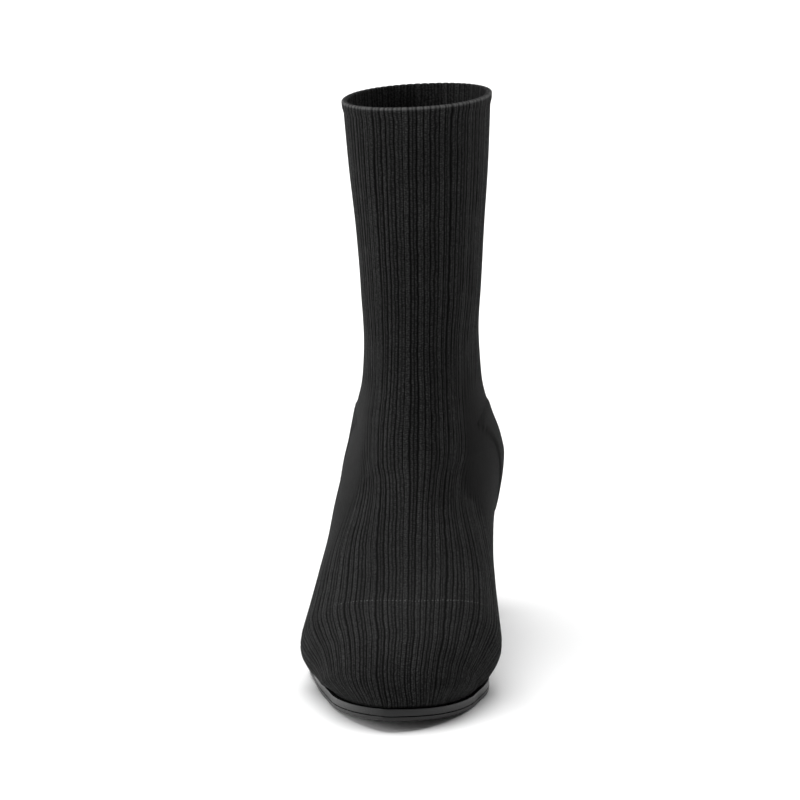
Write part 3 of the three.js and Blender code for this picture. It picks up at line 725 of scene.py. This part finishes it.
@dataclass(frozen=True)
class PolishedFinish:
    """Black polished edge: a clear coat over slightly uneven dark material."""

    name: str
    colour: tuple[float, float, float, float] = (0.0045, 0.0045, 0.0047, 1.0)
    roughness: float = 0.3
    coat: float = 0.15
    coat_roughness: float = 0.12
    ripple_mm: float = 0.05

    def build(self, effects: SharedEffects) -> bpy.types.Material:
        """Makes the material.

        Args:
            effects: The shared node groups.

        Returns:
            The finished material.
        """
        material = bpy.data.materials.new(self.name)
        material.use_nodes = True
        nodes = Nodes(material.node_tree)
        shader = material.node_tree.nodes["Principled BSDF"]
        where = nodes.add("ShaderNodeTexCoord").outputs["Object"]
        flecks = nodes.add("ShaderNodeGroup", node_tree=effects.flecks)
        nodes.tree.links.new(where, flecks.inputs["Place"])
        flecks.inputs["Fine"].default_value = 700.0
        flecks.inputs["Broad"].default_value = 90.0
        worn = tuple(1.5 * value for value in self.colour[:3]) + (1.0,)
        tint = nodes.mix(nodes.math("MULTIPLY", flecks.outputs["Tone"], 0.6), self.colour, worn)
        nodes.tree.links.new(tint, shader.inputs["Base Color"])
        rough = nodes.math("ADD", self.roughness - 0.04, nodes.math("MULTIPLY", flecks.outputs["Tone"], 0.08))
        nodes.tree.links.new(rough, shader.inputs["Roughness"])
        fleck = nodes.math("MULTIPLY", flecks.outputs["Fleck"], 0.2)
        height = nodes.math("ADD", fleck, flecks.outputs["Tone"])
        depth = self.ripple_mm * MM
        bump = nodes.add("ShaderNodeBump", {"Height": height, "Strength": 0.35, "Distance": depth})
        nodes.tree.links.new(bump.outputs[0], shader.inputs["Normal"])
        shader.inputs["Specular IOR Level"].default_value = 0.22
        shader.inputs["Coat Weight"].default_value = self.coat
        shader.inputs["Coat Roughness"].default_value = self.coat_roughness
        return material


@dataclass(frozen=True)
class ClothFinish:
    """A dense matt cloth or rubber with a fine grain."""

    name: str
    colour: tuple[float, float, float, float] = (0.02, 0.02, 0.02, 1.0)
    roughness: float = 0.85
    grain: float = 1800.0
    depth_mm: float = 0.12
    sheen: float = 0.0

    def build(self, effects: SharedEffects) -> bpy.types.Material:
        """Makes the material.

        Args:
            effects: The shared node groups.

        Returns:
            The finished material.
        """
        material = bpy.data.materials.new(self.name)
        material.use_nodes = True
        nodes = Nodes(material.node_tree)
        shader = material.node_tree.nodes["Principled BSDF"]
        where = nodes.add("ShaderNodeTexCoord").outputs["Object"]
        flecks = nodes.add("ShaderNodeGroup", node_tree=effects.flecks)
        nodes.tree.links.new(where, flecks.inputs["Place"])
        flecks.inputs["Fine"].default_value = self.grain
        flecks.inputs["Broad"].default_value = 60.0
        pale = tuple(1.6 * value for value in self.colour[:3]) + (1.0,)
        broad = nodes.math("ADD", 0.5, flecks.outputs["Tone"])
        mixed = nodes.math("MULTIPLY", flecks.outputs["Fleck"], broad)
        nodes.tree.links.new(nodes.mix(mixed, self.colour, pale), shader.inputs["Base Color"])
        bump = nodes.add(
            "ShaderNodeBump",
            {"Height": flecks.outputs["Fleck"], "Strength": 0.5, "Distance": self.depth_mm * MM},
        )
        nodes.tree.links.new(bump.outputs[0], shader.inputs["Normal"])
        shader.inputs["Roughness"].default_value = self.roughness
        shader.inputs["Sheen Weight"].default_value = self.sheen
        return material


@dataclass
class KnitUpper:
    """The knitted upper: outer ribs, rolled collar, inner wall and the turned-in edge at the sole."""

    last: LastShape
    wall: float = 2.2
    collar_roll: float = 0.6
    collar_roll_height: float = 5.0
    rim_height: float = 0.9
    ribs_a_side: int = 35
    vamp_ribs_a_side: int = 27
    vamp_pitch: float = 3.1
    drift: tuple = ((0, 6, 8, 10, 12, 14, 16, 19), (4.5, 4.1, 4.2, 5.2, 7.0, 9.6, 12.2, 11.5))
    lateral_plain: tuple = ((18, 30, 40, 49, 63, 77, 102, 131), (24, 23.5, 20.5, 17, 15, 13.5, 9.5, 7.5))
    medial_plain: tuple = ((18, 30, 40, 49, 63, 72, 79, 103, 131), (24, 23.5, 22, 20, 19, 16, 12.0, 9.0, 9.8))
    plain_fade: float = 3.4
    plain_top: float = 131.0
    columns_a_rib: int = 6
    rib_depth: float = 0.55
    rib_squareness: float = 0.5
    tuck: float = 0.8
    counter_step: float = 0.7
    counter_height: float = 54.0
    counter_length: float = 68.0
    counter_front: tuple = ((0.00, 0.22, 0.42, 0.60, 0.74, 0.84), (0.94, 0.78, 0.68, 0.71, 0.84, 1.00))
    counter_top: tuple = ((0.00, 0.60, 1.00), (1.000, 0.950, 0.865))

    def stations(self, steps: int, heel_steps: int) -> list[float]:
        """Lists the section numbers of the rows.

        Args:
            steps: Rows in a usual gap between sections.
            heel_steps: Rows in the gap where the ring opens at the heel.

        Returns:
            Rising section numbers.
        """
        rows = []
        for section in range(LAST_SECTION):
            count = heel_steps if section == FIRST_OPEN else steps
            rows += [section + step / count for step in range(count)]
        return rows + [float(LAST_SECTION)]

    def rib_numbers(self) -> np.ndarray:
        """Numbers the columns by rib, from the lateral base or back to the medial one."""
        count = 2 * self.ribs_a_side * self.columns_a_rib
        return np.linspace(-self.ribs_a_side, self.ribs_a_side, count + 1)

    def rib_distances(self, station: float, lateral: float, medial: float) -> np.ndarray:
        """Places the ribs round a ring at an even pitch from its front.

        Args:
            station: The section's number.
            lateral: The length of the ring's lateral side.
            medial: The length of its medial side.

        Returns:
            Distances from the ring's front, negative on the lateral side. The last ribs of each side,
            hidden in the plain knit, take up what is left.
        """
        signed = self.rib_numbers()
        ribs = np.abs(signed)
        length = np.where(signed < 0, lateral, medial)
        even = length / self.ribs_a_side
        full = 0.97 * length / self.vamp_ribs_a_side
        soft = 0.12
        vamp = -soft * np.log(np.exp(-self.vamp_pitch / soft) + np.exp(-full / soft))
        pitch = even + (vamp - even) * smooth((station - 4.0) / 7.0)
        wander = 0.13 * np.sin(2.3 * signed + 0.8) + 0.08 * np.sin(5.1 * signed)
        fade = smooth(ribs / 1.5) * smooth((self.vamp_ribs_a_side - ribs) / 3.0)
        reached = pitch * self.vamp_ribs_a_side
        left = (ribs - self.vamp_ribs_a_side) / (self.ribs_a_side - self.vamp_ribs_a_side)
        near = ribs <= self.vamp_ribs_a_side
        away = np.where(near, pitch * ribs, reached + (length - reached) * left)
        middle = np.clip(1 - (ribs / self.vamp_ribs_a_side) ** 2, 0, 1)
        drift = TableCurve(*self.drift)(station) * middle
        return np.sign(signed) * away + pitch * fade * wander + drift

    def surface(self, stations: Sequence[float]) -> np.ndarray:
        """Lays the rings of the last's surface.

        Args:
            stations: Section numbers of the rows.

        Returns:
            Points by row and column.
        """
        return np.array([self.last.ring(station, self.rib_distances) for station in stations])

    def outward(self, points: np.ndarray, stations: Sequence[float]) -> np.ndarray:
        """Works out the outward directions of the surface.

        Args:
            points: Points by row and column.
            stations: Section numbers of the rows.

        Returns:
            Directions of length 1. At the feather line they lie level.
        """
        reach = 3
        wrapped = np.concatenate([points[:, -1 - reach:-1], points, points[:, 1:1 + reach]], axis=1)
        across = wrapped[:, 2 * reach:] - wrapped[:, :-2 * reach]
        opened = np.asarray(stations) >= FIRST_OPEN
        for c in range(reach):
            across[opened, c] = points[opened, c + reach] - points[opened, 0]
            across[opened, -1 - c] = points[opened, -1] - points[opened, -1 - c - reach]
        down = np.gradient(points, axis=0)
        directions = np.cross(across, down)
        directions[0, :, 2] = 0.0
        directions = unit(directions)
        for c, side in ((0, -1.0), (-1, 1.0)):
            line = np.gradient(points[opened, c], axis=0)
            forward = np.sign(line[:, 1] + 1e-9)
            level = np.stack([side * np.abs(line[:, 1]), -side * line[:, 0] * forward, 0 * line[:, 0]], 1)
            directions[opened, c] = unit(level)
        line = np.gradient(points[-1], axis=0)
        directions[-1] = unit(np.stack([-line[:, 1], line[:, 0], 0 * line[:, 0]], axis=1))
        first = int(np.argmax(opened))
        directions[first, 0] = directions[first, -1] = (0.0, -1.0, 0.0)
        return directions

    def plain_mask(self, points: np.ndarray) -> np.ndarray:
        """Tells where the knit has no ribs: the quarters and the heel's cup.

        Args:
            points: Points of the last's surface, by row and column.

        Returns:
            0 on the ribs and 1 on the plain knit.
        """
        ribs = self.rib_numbers()[None, :]
        height = points[..., 2]
        lateral = TableCurve(*self.lateral_plain)
        medial = TableCurve(*self.medial_plain)
        beyond = np.abs(ribs) - np.where(ribs < 0, lateral(height), medial(height))
        return smooth(beyond / self.plain_fade + 0.5) * smooth((self.plain_top - height) / 16.0)

    def counter(self, points: np.ndarray) -> np.ndarray:
        """Measures how far points lie inside the counter's edge.

        Args:
            points: Points of the last's surface.

        Returns:
            Millimetres inside the edge, negative outside it.
        """
        front = TableCurve(*self.counter_front)
        top = TableCurve(*self.counter_top)
        rise = (points[..., 2] - self.last.seat_height) / self.counter_height
        ahead = self.counter_length * front(rise) - points[..., 1]
        reach = points[..., 1] / self.counter_length
        below = self.last.seat_height + self.counter_height * top(reach) - points[..., 2]
        return np.minimum(ahead, below)

    def relief(self, points: np.ndarray, stations: np.ndarray, plain: np.ndarray) -> np.ndarray:
        """Works out how far the outer knit stands off the last.

        Args:
            points: Points of the last's surface.
            stations: Section number of each row.
            plain: The mask of the plain knit.

        Returns:
            Distances in millimetres.
        """
        ribs = self.rib_numbers()[None, :]
        crest = np.abs(np.sin(np.pi * ribs)) ** self.rib_squareness
        depth = self.rib_depth * (0.82 + 0.18 * np.sin(2.9 * np.floor(ribs) + 1.0))
        ribbed = depth * (crest - 0.75) * (1 - plain)
        gap = (SHAFT_SECTIONS[0].back_up - SHAFT_SECTIONS[1].back_up) * self.last.shaft_height
        rolled = self.collar_roll * smooth(2 * (1 - stations * gap / self.collar_roll_height))[:, None]
        inside = self.counter(points)
        stepped = self.counter_step * smooth(inside / 3.0)
        over = points[..., 2] - self.last.feather(points[..., 1])
        foot = (stations >= FIRST_OPEN - 1)[:, None]
        tucked = -self.tuck * smooth(1 - over / 1.8) * foot
        shaft = 1 - smooth((stations - 5.0) / 2.0)[:, None]
        behind = np.abs(ribs) - self.ribs_a_side
        seam = -0.45 * np.exp(-((behind / 0.16) ** 2)) * shaft
        return ribbed * (1 - smooth(1 - over / 2.5) * foot) + rolled + stepped + tucked + seam

    def build(self, finish: bpy.types.Material) -> bpy.types.Object:
        """Makes the upper.

        Args:
            finish: The knit's material.

        Returns:
            The finished piece.
        """
        outer_stations = np.array(self.stations(6, 14))
        gap = (SHAFT_SECTIONS[0].back_up - SHAFT_SECTIONS[1].back_up) * self.last.shaft_height
        extra = np.array([0.6, 1.4, 2.4, 3.6]) / gap
        outer_stations = np.unique(np.concatenate([outer_stations, extra]))
        inner_stations = np.array(self.stations(2, 7))
        outer_last = self.surface(outer_stations)
        inner_last = self.surface(inner_stations)
        outer_way = self.outward(outer_last, outer_stations)
        inner_way = self.outward(inner_last, inner_stations)
        plain = self.plain_mask(outer_last)
        outer = outer_last + outer_way * self.relief(outer_last, outer_stations, plain)[..., None]
        crest = np.abs(np.sin(np.pi * self.rib_numbers()))[None, :] ** self.rib_squareness
        near_top = 1 - smooth((inner_stations - 1.0) / 3.0)[:, None]
        tape = smooth((np.abs(self.rib_numbers()) - (self.ribs_a_side - 1.6)) / 0.3)[None, :]
        inward = self.wall - 0.35 * (crest - 0.5) * near_top * (1 - tape) + 0.35 * tape * near_top
        inner = inner_last - inner_way * inward[..., None]
        rim = []
        for turn in np.linspace(np.pi, 0, 9)[1:-1]:
            middle, half = (outer[0] + inner[0]) / 2, (outer[0] - inner[0]) / 2
            lift = self.rim_height * (0.72 + 0.28 * crest[0])
            row = middle + half * math.cos(turn)
            row[:, 2] += lift * math.sin(turn)
            rim.append(row)
        under = np.stack([inner_last - inner_way * self.wall])[0]
        outer_base = outer_last - outer_way * self.wall
        turned_in = (outer_last[-1] - outer_way[-1] * self.wall)[None]
        sheet = np.concatenate([inner[::-1], np.array(rim), outer, turned_in])
        rim_rows = np.array(rim)
        left = np.concatenate([under[::-1, 0], rim_rows[:, 0], outer_base[:, 0], outer_base[-1:, 0]])
        right = np.concatenate([under[::-1, -1], rim_rows[:, -1], outer_base[:, -1], outer_base[-1:, -1]])
        closed_inner = inner_stations[::-1] < FIRST_OPEN
        closed = np.concatenate([closed_inner, np.ones(len(rim), bool), outer_stations < FIRST_OPEN, [False]])
        left[closed] = sheet[closed, 0]
        right[closed] = sheet[closed, -1]
        sheet = np.concatenate([left[:, None], sheet, right[:, None]], axis=1)
        sections = np.repeat(outer_stations[:, None], plain.shape[1], 1)
        masks = {
            "plain": (np.maximum(self.plain_mask(inner_last), 0.35), 0.0, plain),
            "counter": (np.full(inner_last.shape[:2], -50.0), -50.0, self.counter(outer_last)),
            # The inner wall's station of -5 turns on the painted light of the inner wall in the knit finish.
            # The rim's -1 leaves it off.
            "station": (np.full(inner_last.shape[:2], -5.0), -1.0, sections),
        }
        columns = plain.shape[1]
        half = len(rim) // 2
        # Painted highlight: the rim mark is 0 on the rim's inner half and rises over its outer half. It fades
        # within about a millimetre below the rim on the outer wall.
        rim_highlight_lip = np.concatenate([np.zeros(half), smooth(np.linspace(0.05, 1.0, len(rim) - half))])
        rim_highlight_below = np.exp(-outer_stations * gap / 0.35)
        marks = {"rim": np.concatenate([np.zeros(len(inner)), rim_highlight_lip, rim_highlight_below, [0.0]])}
        marks["rim"] = np.repeat(marks["rim"][:, None], columns + 2, axis=1)
        for name, (within, on_rim, outside) in masks.items():
            rows = np.concatenate([within[::-1], np.full((len(rim), columns), on_rim), outside, outside[-1:]])
            marks[name] = np.concatenate([rows[:, :1], rows, rows[:, -1:]], axis=1)
        return self.make_mesh(sheet, marks, finish)

    def make_mesh(
        self, sheet: np.ndarray, marks: dict[str, np.ndarray], finish: bpy.types.Material
    ) -> bpy.types.Object:
        """Turns the sheet of points into the piece.

        Args:
            sheet: Points by row and column, from the inner toe over the rim to the outer toe.
            marks: Named values for the same points, which the finish reads.
            finish: The knit's material.

        Returns:
            The finished piece.
        """
        rows, columns = sheet.shape[:2]
        deselect_all()
        bpy.ops.mesh.primitive_grid_add(x_subdivisions=columns - 1, y_subdivisions=rows - 1, size=2.0)
        piece = bpy.context.object
        piece.name = piece.data.name = "knit_upper"
        flat = read_points(piece)
        c = np.rint((flat[:, 0] + 1) / 2 * (columns - 1)).astype(int)
        r = np.rint((flat[:, 1] + 1) / 2 * (rows - 1)).astype(int)
        write_points(piece, self.last.to_world(sheet[r, c]))
        ribs = self.rib_numbers()
        ribs = np.concatenate([ribs[:1], ribs, ribs[-1:]])
        steps = np.linalg.norm(np.diff(sheet, axis=0), axis=2)
        run = np.concatenate([np.zeros((1, columns)), np.cumsum(steps, axis=0)])
        knit = piece.data.uv_layers[0]
        knit.name = "knit"
        corners = np.empty(len(piece.data.loops), int)
        piece.data.loops.foreach_get("vertex_index", corners)
        uv = np.stack([ribs[c] + 40.0, run[r, c]], axis=1)[corners]
        knit.data.foreach_set("uv", uv.ravel())
        for name, values in marks.items():
            mark = piece.data.attributes.new(name, "FLOAT", "POINT")
            mark.data.foreach_set("value", values[r, c])
        make_active(piece)
        bpy.ops.object.mode_set(mode="EDIT")
        bpy.ops.mesh.select_all(action="SELECT")
        bpy.ops.mesh.remove_doubles(threshold=2e-6)
        bpy.ops.object.mode_set(mode="OBJECT")
        self.face_outwards(piece)
        bpy.ops.object.shade_smooth()
        finish_piece(piece, "upper", [finish])
        return piece

    @staticmethod
    def face_outwards(piece: bpy.types.Object) -> None:
        """Turns the faces so that the outer wall faces out, judged by the wall's signed volume."""
        mesh = piece.data
        mesh.calc_loop_triangles()
        corners = np.empty(len(mesh.loop_triangles) * 3, int)
        mesh.loop_triangles.foreach_get("vertices", corners)
        points = read_points(piece)[corners].reshape(-1, 3, 3)
        volume = np.einsum("ij,ij->i", points[:, 0], np.cross(points[:, 1], points[:, 2])).sum()
        if volume < 0:
            bpy.ops.object.mode_set(mode="EDIT")
            bpy.ops.mesh.select_all(action="SELECT")
            bpy.ops.mesh.flip_normals()
            bpy.ops.object.mode_set(mode="OBJECT")


@dataclass
class SoleLayer:
    """A layer with the boot's outline that follows the sole's line."""

    last: LastShape
    name: str
    node: str
    slot: str
    top: Callable[[np.ndarray], np.ndarray]
    thickness: float
    edge: float = 0.9
    round: float = 0.6
    across: int = 10
    lengthwise: int = 110

    def build(self, side_finish: bpy.types.Material, under_finish: bpy.types.Material) -> bpy.types.Object:
        """Makes the layer: a grid laid on the outline, thickened, rounded and bent to the sole's line.

        Args:
            side_finish: Material of the edge and the upper face.
            under_finish: Material of the underside.

        Returns:
            The finished piece.
        """
        deselect_all()
        bpy.ops.mesh.primitive_grid_add(x_subdivisions=self.across, y_subdivisions=self.lengthwise, size=2.0)
        piece = bpy.context.object
        piece.name = piece.data.name = self.name
        flat = read_points(piece)
        turn = (flat[:, 1] + 1) / 2
        length = self.last.foot_length
        along = length * (1 - np.cos(np.pi * turn)) / 2
        lateral = -self.last.edge(Side.LATERAL, along)
        medial = self.last.edge(Side.MEDIAL, along)
        x = lateral + (medial - lateral) * (flat[:, 0] + 1) / 2
        points = np.stack([x, along, np.zeros_like(x)], axis=1)
        points = self.grow(points, flat)
        points[:, 2] = 0.0
        world = self.last.to_world(points)
        write_points(piece, world)
        make_active(piece)
        bpy.ops.object.mode_set(mode="EDIT")
        bpy.ops.mesh.select_all(action="SELECT")
        bpy.ops.mesh.remove_doubles(threshold=2e-6)
        bpy.ops.object.mode_set(mode="OBJECT")
        upward = sum(face.normal.z for face in piece.data.polygons) > 0
        thick = piece.modifiers.new("thickness", "SOLIDIFY")
        thick.thickness = self.thickness * MM
        thick.offset = -1.0 if upward else 1.0
        rounded = piece.modifiers.new("rounding", "BEVEL")
        rounded.width = self.round * MM
        rounded.segments = 4
        rounded.limit_method = "ANGLE"
        rounded.angle_limit = math.radians(50)
        apply_modifiers(piece)
        points = read_points(piece)
        along = self.last.shift_y - points[:, 1] / MM
        points[:, 2] += self.top(along) * MM
        write_points(piece, points)
        if not upward:
            bpy.ops.object.mode_set(mode="EDIT")
            bpy.ops.mesh.select_all(action="SELECT")
            bpy.ops.mesh.flip_normals()
            bpy.ops.object.mode_set(mode="OBJECT")
        for face in piece.data.polygons:
            face.material_index = 1 if face.normal.z < -0.75 else 0
        bpy.ops.object.shade_smooth_by_angle(angle=math.radians(50))
        finish_piece(piece, self.node, [side_finish, under_finish])
        return piece

    def grow(self, points: np.ndarray, flat: np.ndarray) -> np.ndarray:
        """Moves the grid's rim outwards beyond the feather line, and its inside in proportion.

        Args:
            points: The grid's points on the outline.
            flat: The grid's own square places, from -1 to 1.

        Returns:
            The grown points.
        """
        length = self.last.foot_length
        middle = np.array([0.0, length / 2, 0.0])
        away = unit(points - middle)
        step = 0.5
        along = points[:, 1]
        lateral_slope, medial_slope = (
            (self.last.edge(side, along + step) - self.last.edge(side, along - step)) / (2 * step)
            for side in (Side.LATERAL, Side.MEDIAL)
        )
        slope = np.where(flat[:, 0] < 0, lateral_slope, medial_slope)
        ends = np.abs(flat[:, 1]) > 0.999
        square = unit(np.stack([np.sign(flat[:, 0]), -slope, np.zeros_like(slope)], axis=1))
        square[ends] = np.stack([0 * along[ends], away[ends, 1], 0 * along[ends]], axis=1)
        share = np.abs(flat[:, 0])[:, None]
        share[ends] = 1.0
        return points + square * share * self.edge


@dataclass
class BlockHeel:
    """The block heel under the seat and its rubber lift."""

    last: LastShape
    top_length: float = 58.0
    foot_length: float = 46.0
    foot_width: float = 49.0
    rake: float = 5.0
    curve: float = 1.6
    breast_hollow: float = 2.0
    lift_thickness: float = 5.0
    levels: int = 16

    def loop(self) -> np.ndarray:
        """Lays the heel's outline under the sole, round from the lateral breast corner.

        Returns:
            Points in the plane as x and the distance from the heel's back.
        """
        turn = np.linspace(0, 1, 41)
        along = self.top_length * (1 - np.cos(np.pi / 2 * turn))
        lateral = np.stack([-self.last.edge(Side.LATERAL, along), along], axis=1)
        medial = np.stack([self.last.edge(Side.MEDIAL, along), along], axis=1)
        across = np.linspace(1, -1, 13)[1:-1]
        corner = np.where(across > 0, medial[-1, 0], -lateral[-1, 0])
        breast = np.stack([across * corner, self.top_length - self.breast_hollow * (1 - across**2)], axis=1)
        return np.concatenate([lateral[::-1], medial[1:], breast])

    def section(self, share: float) -> np.ndarray:
        """Draws the outline in towards the floor.

        Args:
            share: 0 under the sole and 1 at the lift.

        Returns:
            The outline there.
        """
        drawn = 1 - (1 - share) ** self.curve
        width = self.last.edge(Side.LATERAL, self.top_length) + self.last.edge(Side.MEDIAL, self.top_length)
        across = 1 + (self.foot_width / width - 1) * drawn
        lengthwise = 1 + (self.foot_length / self.top_length - 1) * drawn
        loop = self.loop()
        return np.stack([loop[:, 0] * across, loop[:, 1] * lengthwise + self.rake * drawn], axis=1)

    def stack(self, name: str, sections: Sequence[np.ndarray]) -> bpy.types.Object:
        """Extrudes a filled outline downwards through the given sections.

        Args:
            name: The piece's name.
            sections: Points of each level, the highest first.

        Returns:
            The closed piece.
        """
        count = len(sections[0])
        deselect_all()
        bpy.ops.mesh.primitive_circle_add(vertices=count, radius=0.05, fill_type="NGON")
        piece = bpy.context.object
        piece.name = piece.data.name = name
        bpy.ops.object.mode_set(mode="EDIT")
        bpy.ops.mesh.select_all(action="SELECT")
        for _ in sections[1:]:
            bpy.ops.mesh.extrude_region_move(TRANSFORM_OT_translate={"value": (0, 0, -0.001)})
        bpy.ops.object.mode_set(mode="OBJECT")
        flat = read_points(piece)
        level = np.rint((flat[:, 2].max() - flat[:, 2]) / 0.001).astype(int)
        angle = np.arctan2(flat[:, 1], flat[:, 0])
        order = np.rint(((math.pi / 2 - angle) % (2 * math.pi)) / (2 * math.pi) * count).astype(int) % count
        write_points(piece, self.last.to_world(np.array(sections)[level, order]))
        make_active(piece)
        bpy.ops.object.mode_set(mode="EDIT")
        bpy.ops.mesh.select_all(action="SELECT")
        bpy.ops.mesh.normals_make_consistent(inside=False)
        bpy.ops.object.mode_set(mode="OBJECT")
        return piece

    def build_block(self, finish: bpy.types.Material) -> bpy.types.Object:
        """Makes the heel block.

        Args:
            finish: The lacquer's material.

        Returns:
            The finished piece.
        """
        top = self.loop()
        high = self.last.sole_under(top[:, 1]) - self.last.clearance
        foot = self.lift_thickness + self.last.clearance
        sections = []
        for share in np.linspace(0, 1, self.levels):
            plan = self.section(share)
            sections.append(np.column_stack([plan, high + (foot - high) * share]))
        piece = self.stack("block_heel", sections)
        self.round_rims(piece, 0.5)
        finish_piece(piece, "heel_block", [finish])
        return piece

    def build_lift(self, finish: bpy.types.Material) -> bpy.types.Object:
        """Makes the heel's lift.

        Args:
            finish: The rubber's material.

        Returns:
            The finished piece.
        """
        plan = self.section(1.0)
        count = len(plan)
        sections = [np.column_stack([plan, np.full(count, height)]) for height in (self.lift_thickness, 0.0)]
        piece = self.stack("heel_lift_rubber", sections)
        self.round_rims(piece, 0.7)
        finish_piece(piece, "heel_lift", [finish])
        return piece

    @staticmethod
    def round_rims(piece: bpy.types.Object, width: float) -> None:
        """Rounds the sharp rims of a piece.

        Args:
            piece: The heel block or its lift.
            width: The rounding's width in millimetres.
        """
        rounded = piece.modifiers.new("rounding", "BEVEL")
        rounded.width = width * MM
        rounded.segments = 3
        rounded.limit_method = "ANGLE"
        rounded.angle_limit = math.radians(40)
        apply_modifiers(piece)
        bpy.ops.object.shade_smooth_by_angle(angle=math.radians(40))


@dataclass
class Studio:
    """The pale floor, soft lights and the camera at the photograph's angle."""

    photo_width: float = 800.0
    photo_focus: float = 3441.0
    zoom: float = 1.22
    camera_x: float = 238.4
    camera_along: float = 2027.2
    camera_height: float = 557.0
    heading: float = 5.5
    pitch: float = 12.78
    pan_px: float = -97.4
    tilt_px: float = -7.0
    sensor: float = 36.0
    room: float = 0.38

    def place_camera(self, last: LastShape) -> bpy.types.Object:
        """Sets the camera where the photograph was taken from, turned to the boot.

        Args:
            last: The last, which knows where the boot's frame is.

        Returns:
            The camera.
        """
        spot = last.to_world(np.array([self.camera_x, self.camera_along, self.camera_height]))
        pan = math.atan(self.pan_px / self.photo_focus)
        tilt = math.atan(self.tilt_px / self.photo_focus)
        data = bpy.data.cameras.new("photo_camera")
        data.sensor_width = self.sensor
        data.lens = self.photo_focus * self.zoom * self.sensor / self.photo_width
        data.clip_end = 50.0
        camera = bpy.data.objects.new("photo_camera", data)
        bpy.context.scene.collection.objects.link(camera)
        camera.location = spot
        level = Euler((math.radians(90 - self.pitch), 0, math.radians(self.heading))).to_quaternion()
        camera.rotation_euler = (level @ Euler((-tilt, -pan, 0)).to_quaternion()).to_euler()
        bpy.context.scene.camera = camera
        return camera

    def sun(self, name: str, tilt: tuple[float, float], spread: float, strength: float) -> None:
        """Adds a broad soft light that falls evenly on the floor.

        Args:
            name: The light's name.
            tilt: Degrees that it leans towards the camera and towards the right.
            spread: Its apparent size in degrees.
            strength: Its strength.
        """
        data = bpy.data.lights.new(name, "SUN")
        data.angle = math.radians(spread)
        data.energy = strength
        light = bpy.data.objects.new(name, data)
        bpy.context.scene.collection.objects.link(light)
        light.rotation_euler = (math.radians(tilt[0]), math.radians(tilt[1]), 0.0)

    def build(self, last: LastShape) -> None:
        """Makes the floor, the lights and the camera.

        Args:
            last: The last, which knows where the boot's frame is.
        """
        scene = bpy.context.scene
        scene.view_settings.view_transform = "Standard"
        deselect_all()
        bpy.ops.mesh.primitive_plane_add(size=14.0, location=(0, 0, 0))
        floor = bpy.context.object
        floor.name = "studio_floor"
        paper = bpy.data.materials.new("pale paper")
        paper.use_nodes = True
        shader = paper.node_tree.nodes["Principled BSDF"]
        shader.inputs["Base Color"].default_value = (0.93, 0.93, 0.93, 1)
        shader.inputs["Roughness"].default_value = 0.6
        shader.inputs["Specular IOR Level"].default_value = 0.2
        floor.data.materials.append(paper)
        world = bpy.data.worlds.new("pale room")
        world.use_nodes = True
        sky = world.node_tree.nodes["Background"]
        sky.inputs["Color"].default_value = (1, 1, 1, 1)
        sky.inputs["Strength"].default_value = self.room
        nodes = Nodes(world.node_tree)
        toward = nodes.add("ShaderNodeSeparateXYZ", {0: nodes.add("ShaderNodeTexCoord").outputs["Generated"]})
        camera_side = nodes.ramp(nodes.math("MULTIPLY", toward.outputs["Y"], -1.0), 0.55, 0.9)
        right_side = nodes.ramp(toward.outputs["X"], 0.25, 0.8)
        dark = nodes.math("MAXIMUM", camera_side, nodes.math("MULTIPLY", right_side, 0.8))
        tone = nodes.mix(dark, (1, 1, 1, 1), (0.18, 0.18, 0.18, 1))
        world.node_tree.links.new(tone, sky.inputs["Color"])
        scene.world = world
        self.sun("top_sun", (-14.0, -6.0), 66.0, 3.6)
        self.sun("left_sun", (24.0, -66.0), 40.0, 1.25)
        self.place_camera(last)


def main() -> None:
    """Builds the boot and its studio."""
    logging.basicConfig(level=logging.INFO, format="%(name)s %(message)s")
    last = LastShape()
    last.settle("outsole", 0.9)
    Studio().build(last)
    effects = SharedEffects()
    knit = KnitFinish().build(effects)
    edge = PolishedFinish("polished sole edge").build(effects)
    lacquer = PolishedFinish("heel lacquer", roughness=0.3, coat=0.9, coat_roughness=0.08).build(effects)
    lining = ClothFinish("insole lining", (0.022, 0.022, 0.022, 1.0), 0.9, 2200.0, 0.10, 0.1).build(effects)
    tread = ClothFinish("outsole tread", (0.016, 0.016, 0.016, 1.0), 0.6, 900.0, 0.15).build(effects)
    rubber = ClothFinish("lift rubber", (0.014, 0.014, 0.014, 1.0), 0.75, 1200.0, 0.08).build(effects)
    KnitUpper(last).build(knit)
    SoleLayer(
        last, "sole_edge", "midsole", "sole_gloss", last.midsole_top, last.midsole_thickness, round=0.8
    ).build(edge, edge)
    SoleLayer(
        last, "tread_sole", "outsole", "sole_gloss", last.outsole_top, last.outsole_thickness, round=0.6
    ).build(edge, tread)
    SoleLayer(
        last, "insole_lining", "insole", "insole_lining",
        lambda along: last.feather(along) + 2.4, 2.4, edge=-3.2, round=0.6,
    ).build(lining, lining)
    heel = BlockHeel(last)
    heel.build_block(lacquer)
    heel.build_lift(rubber)


if __name__ == "__main__":
    main()
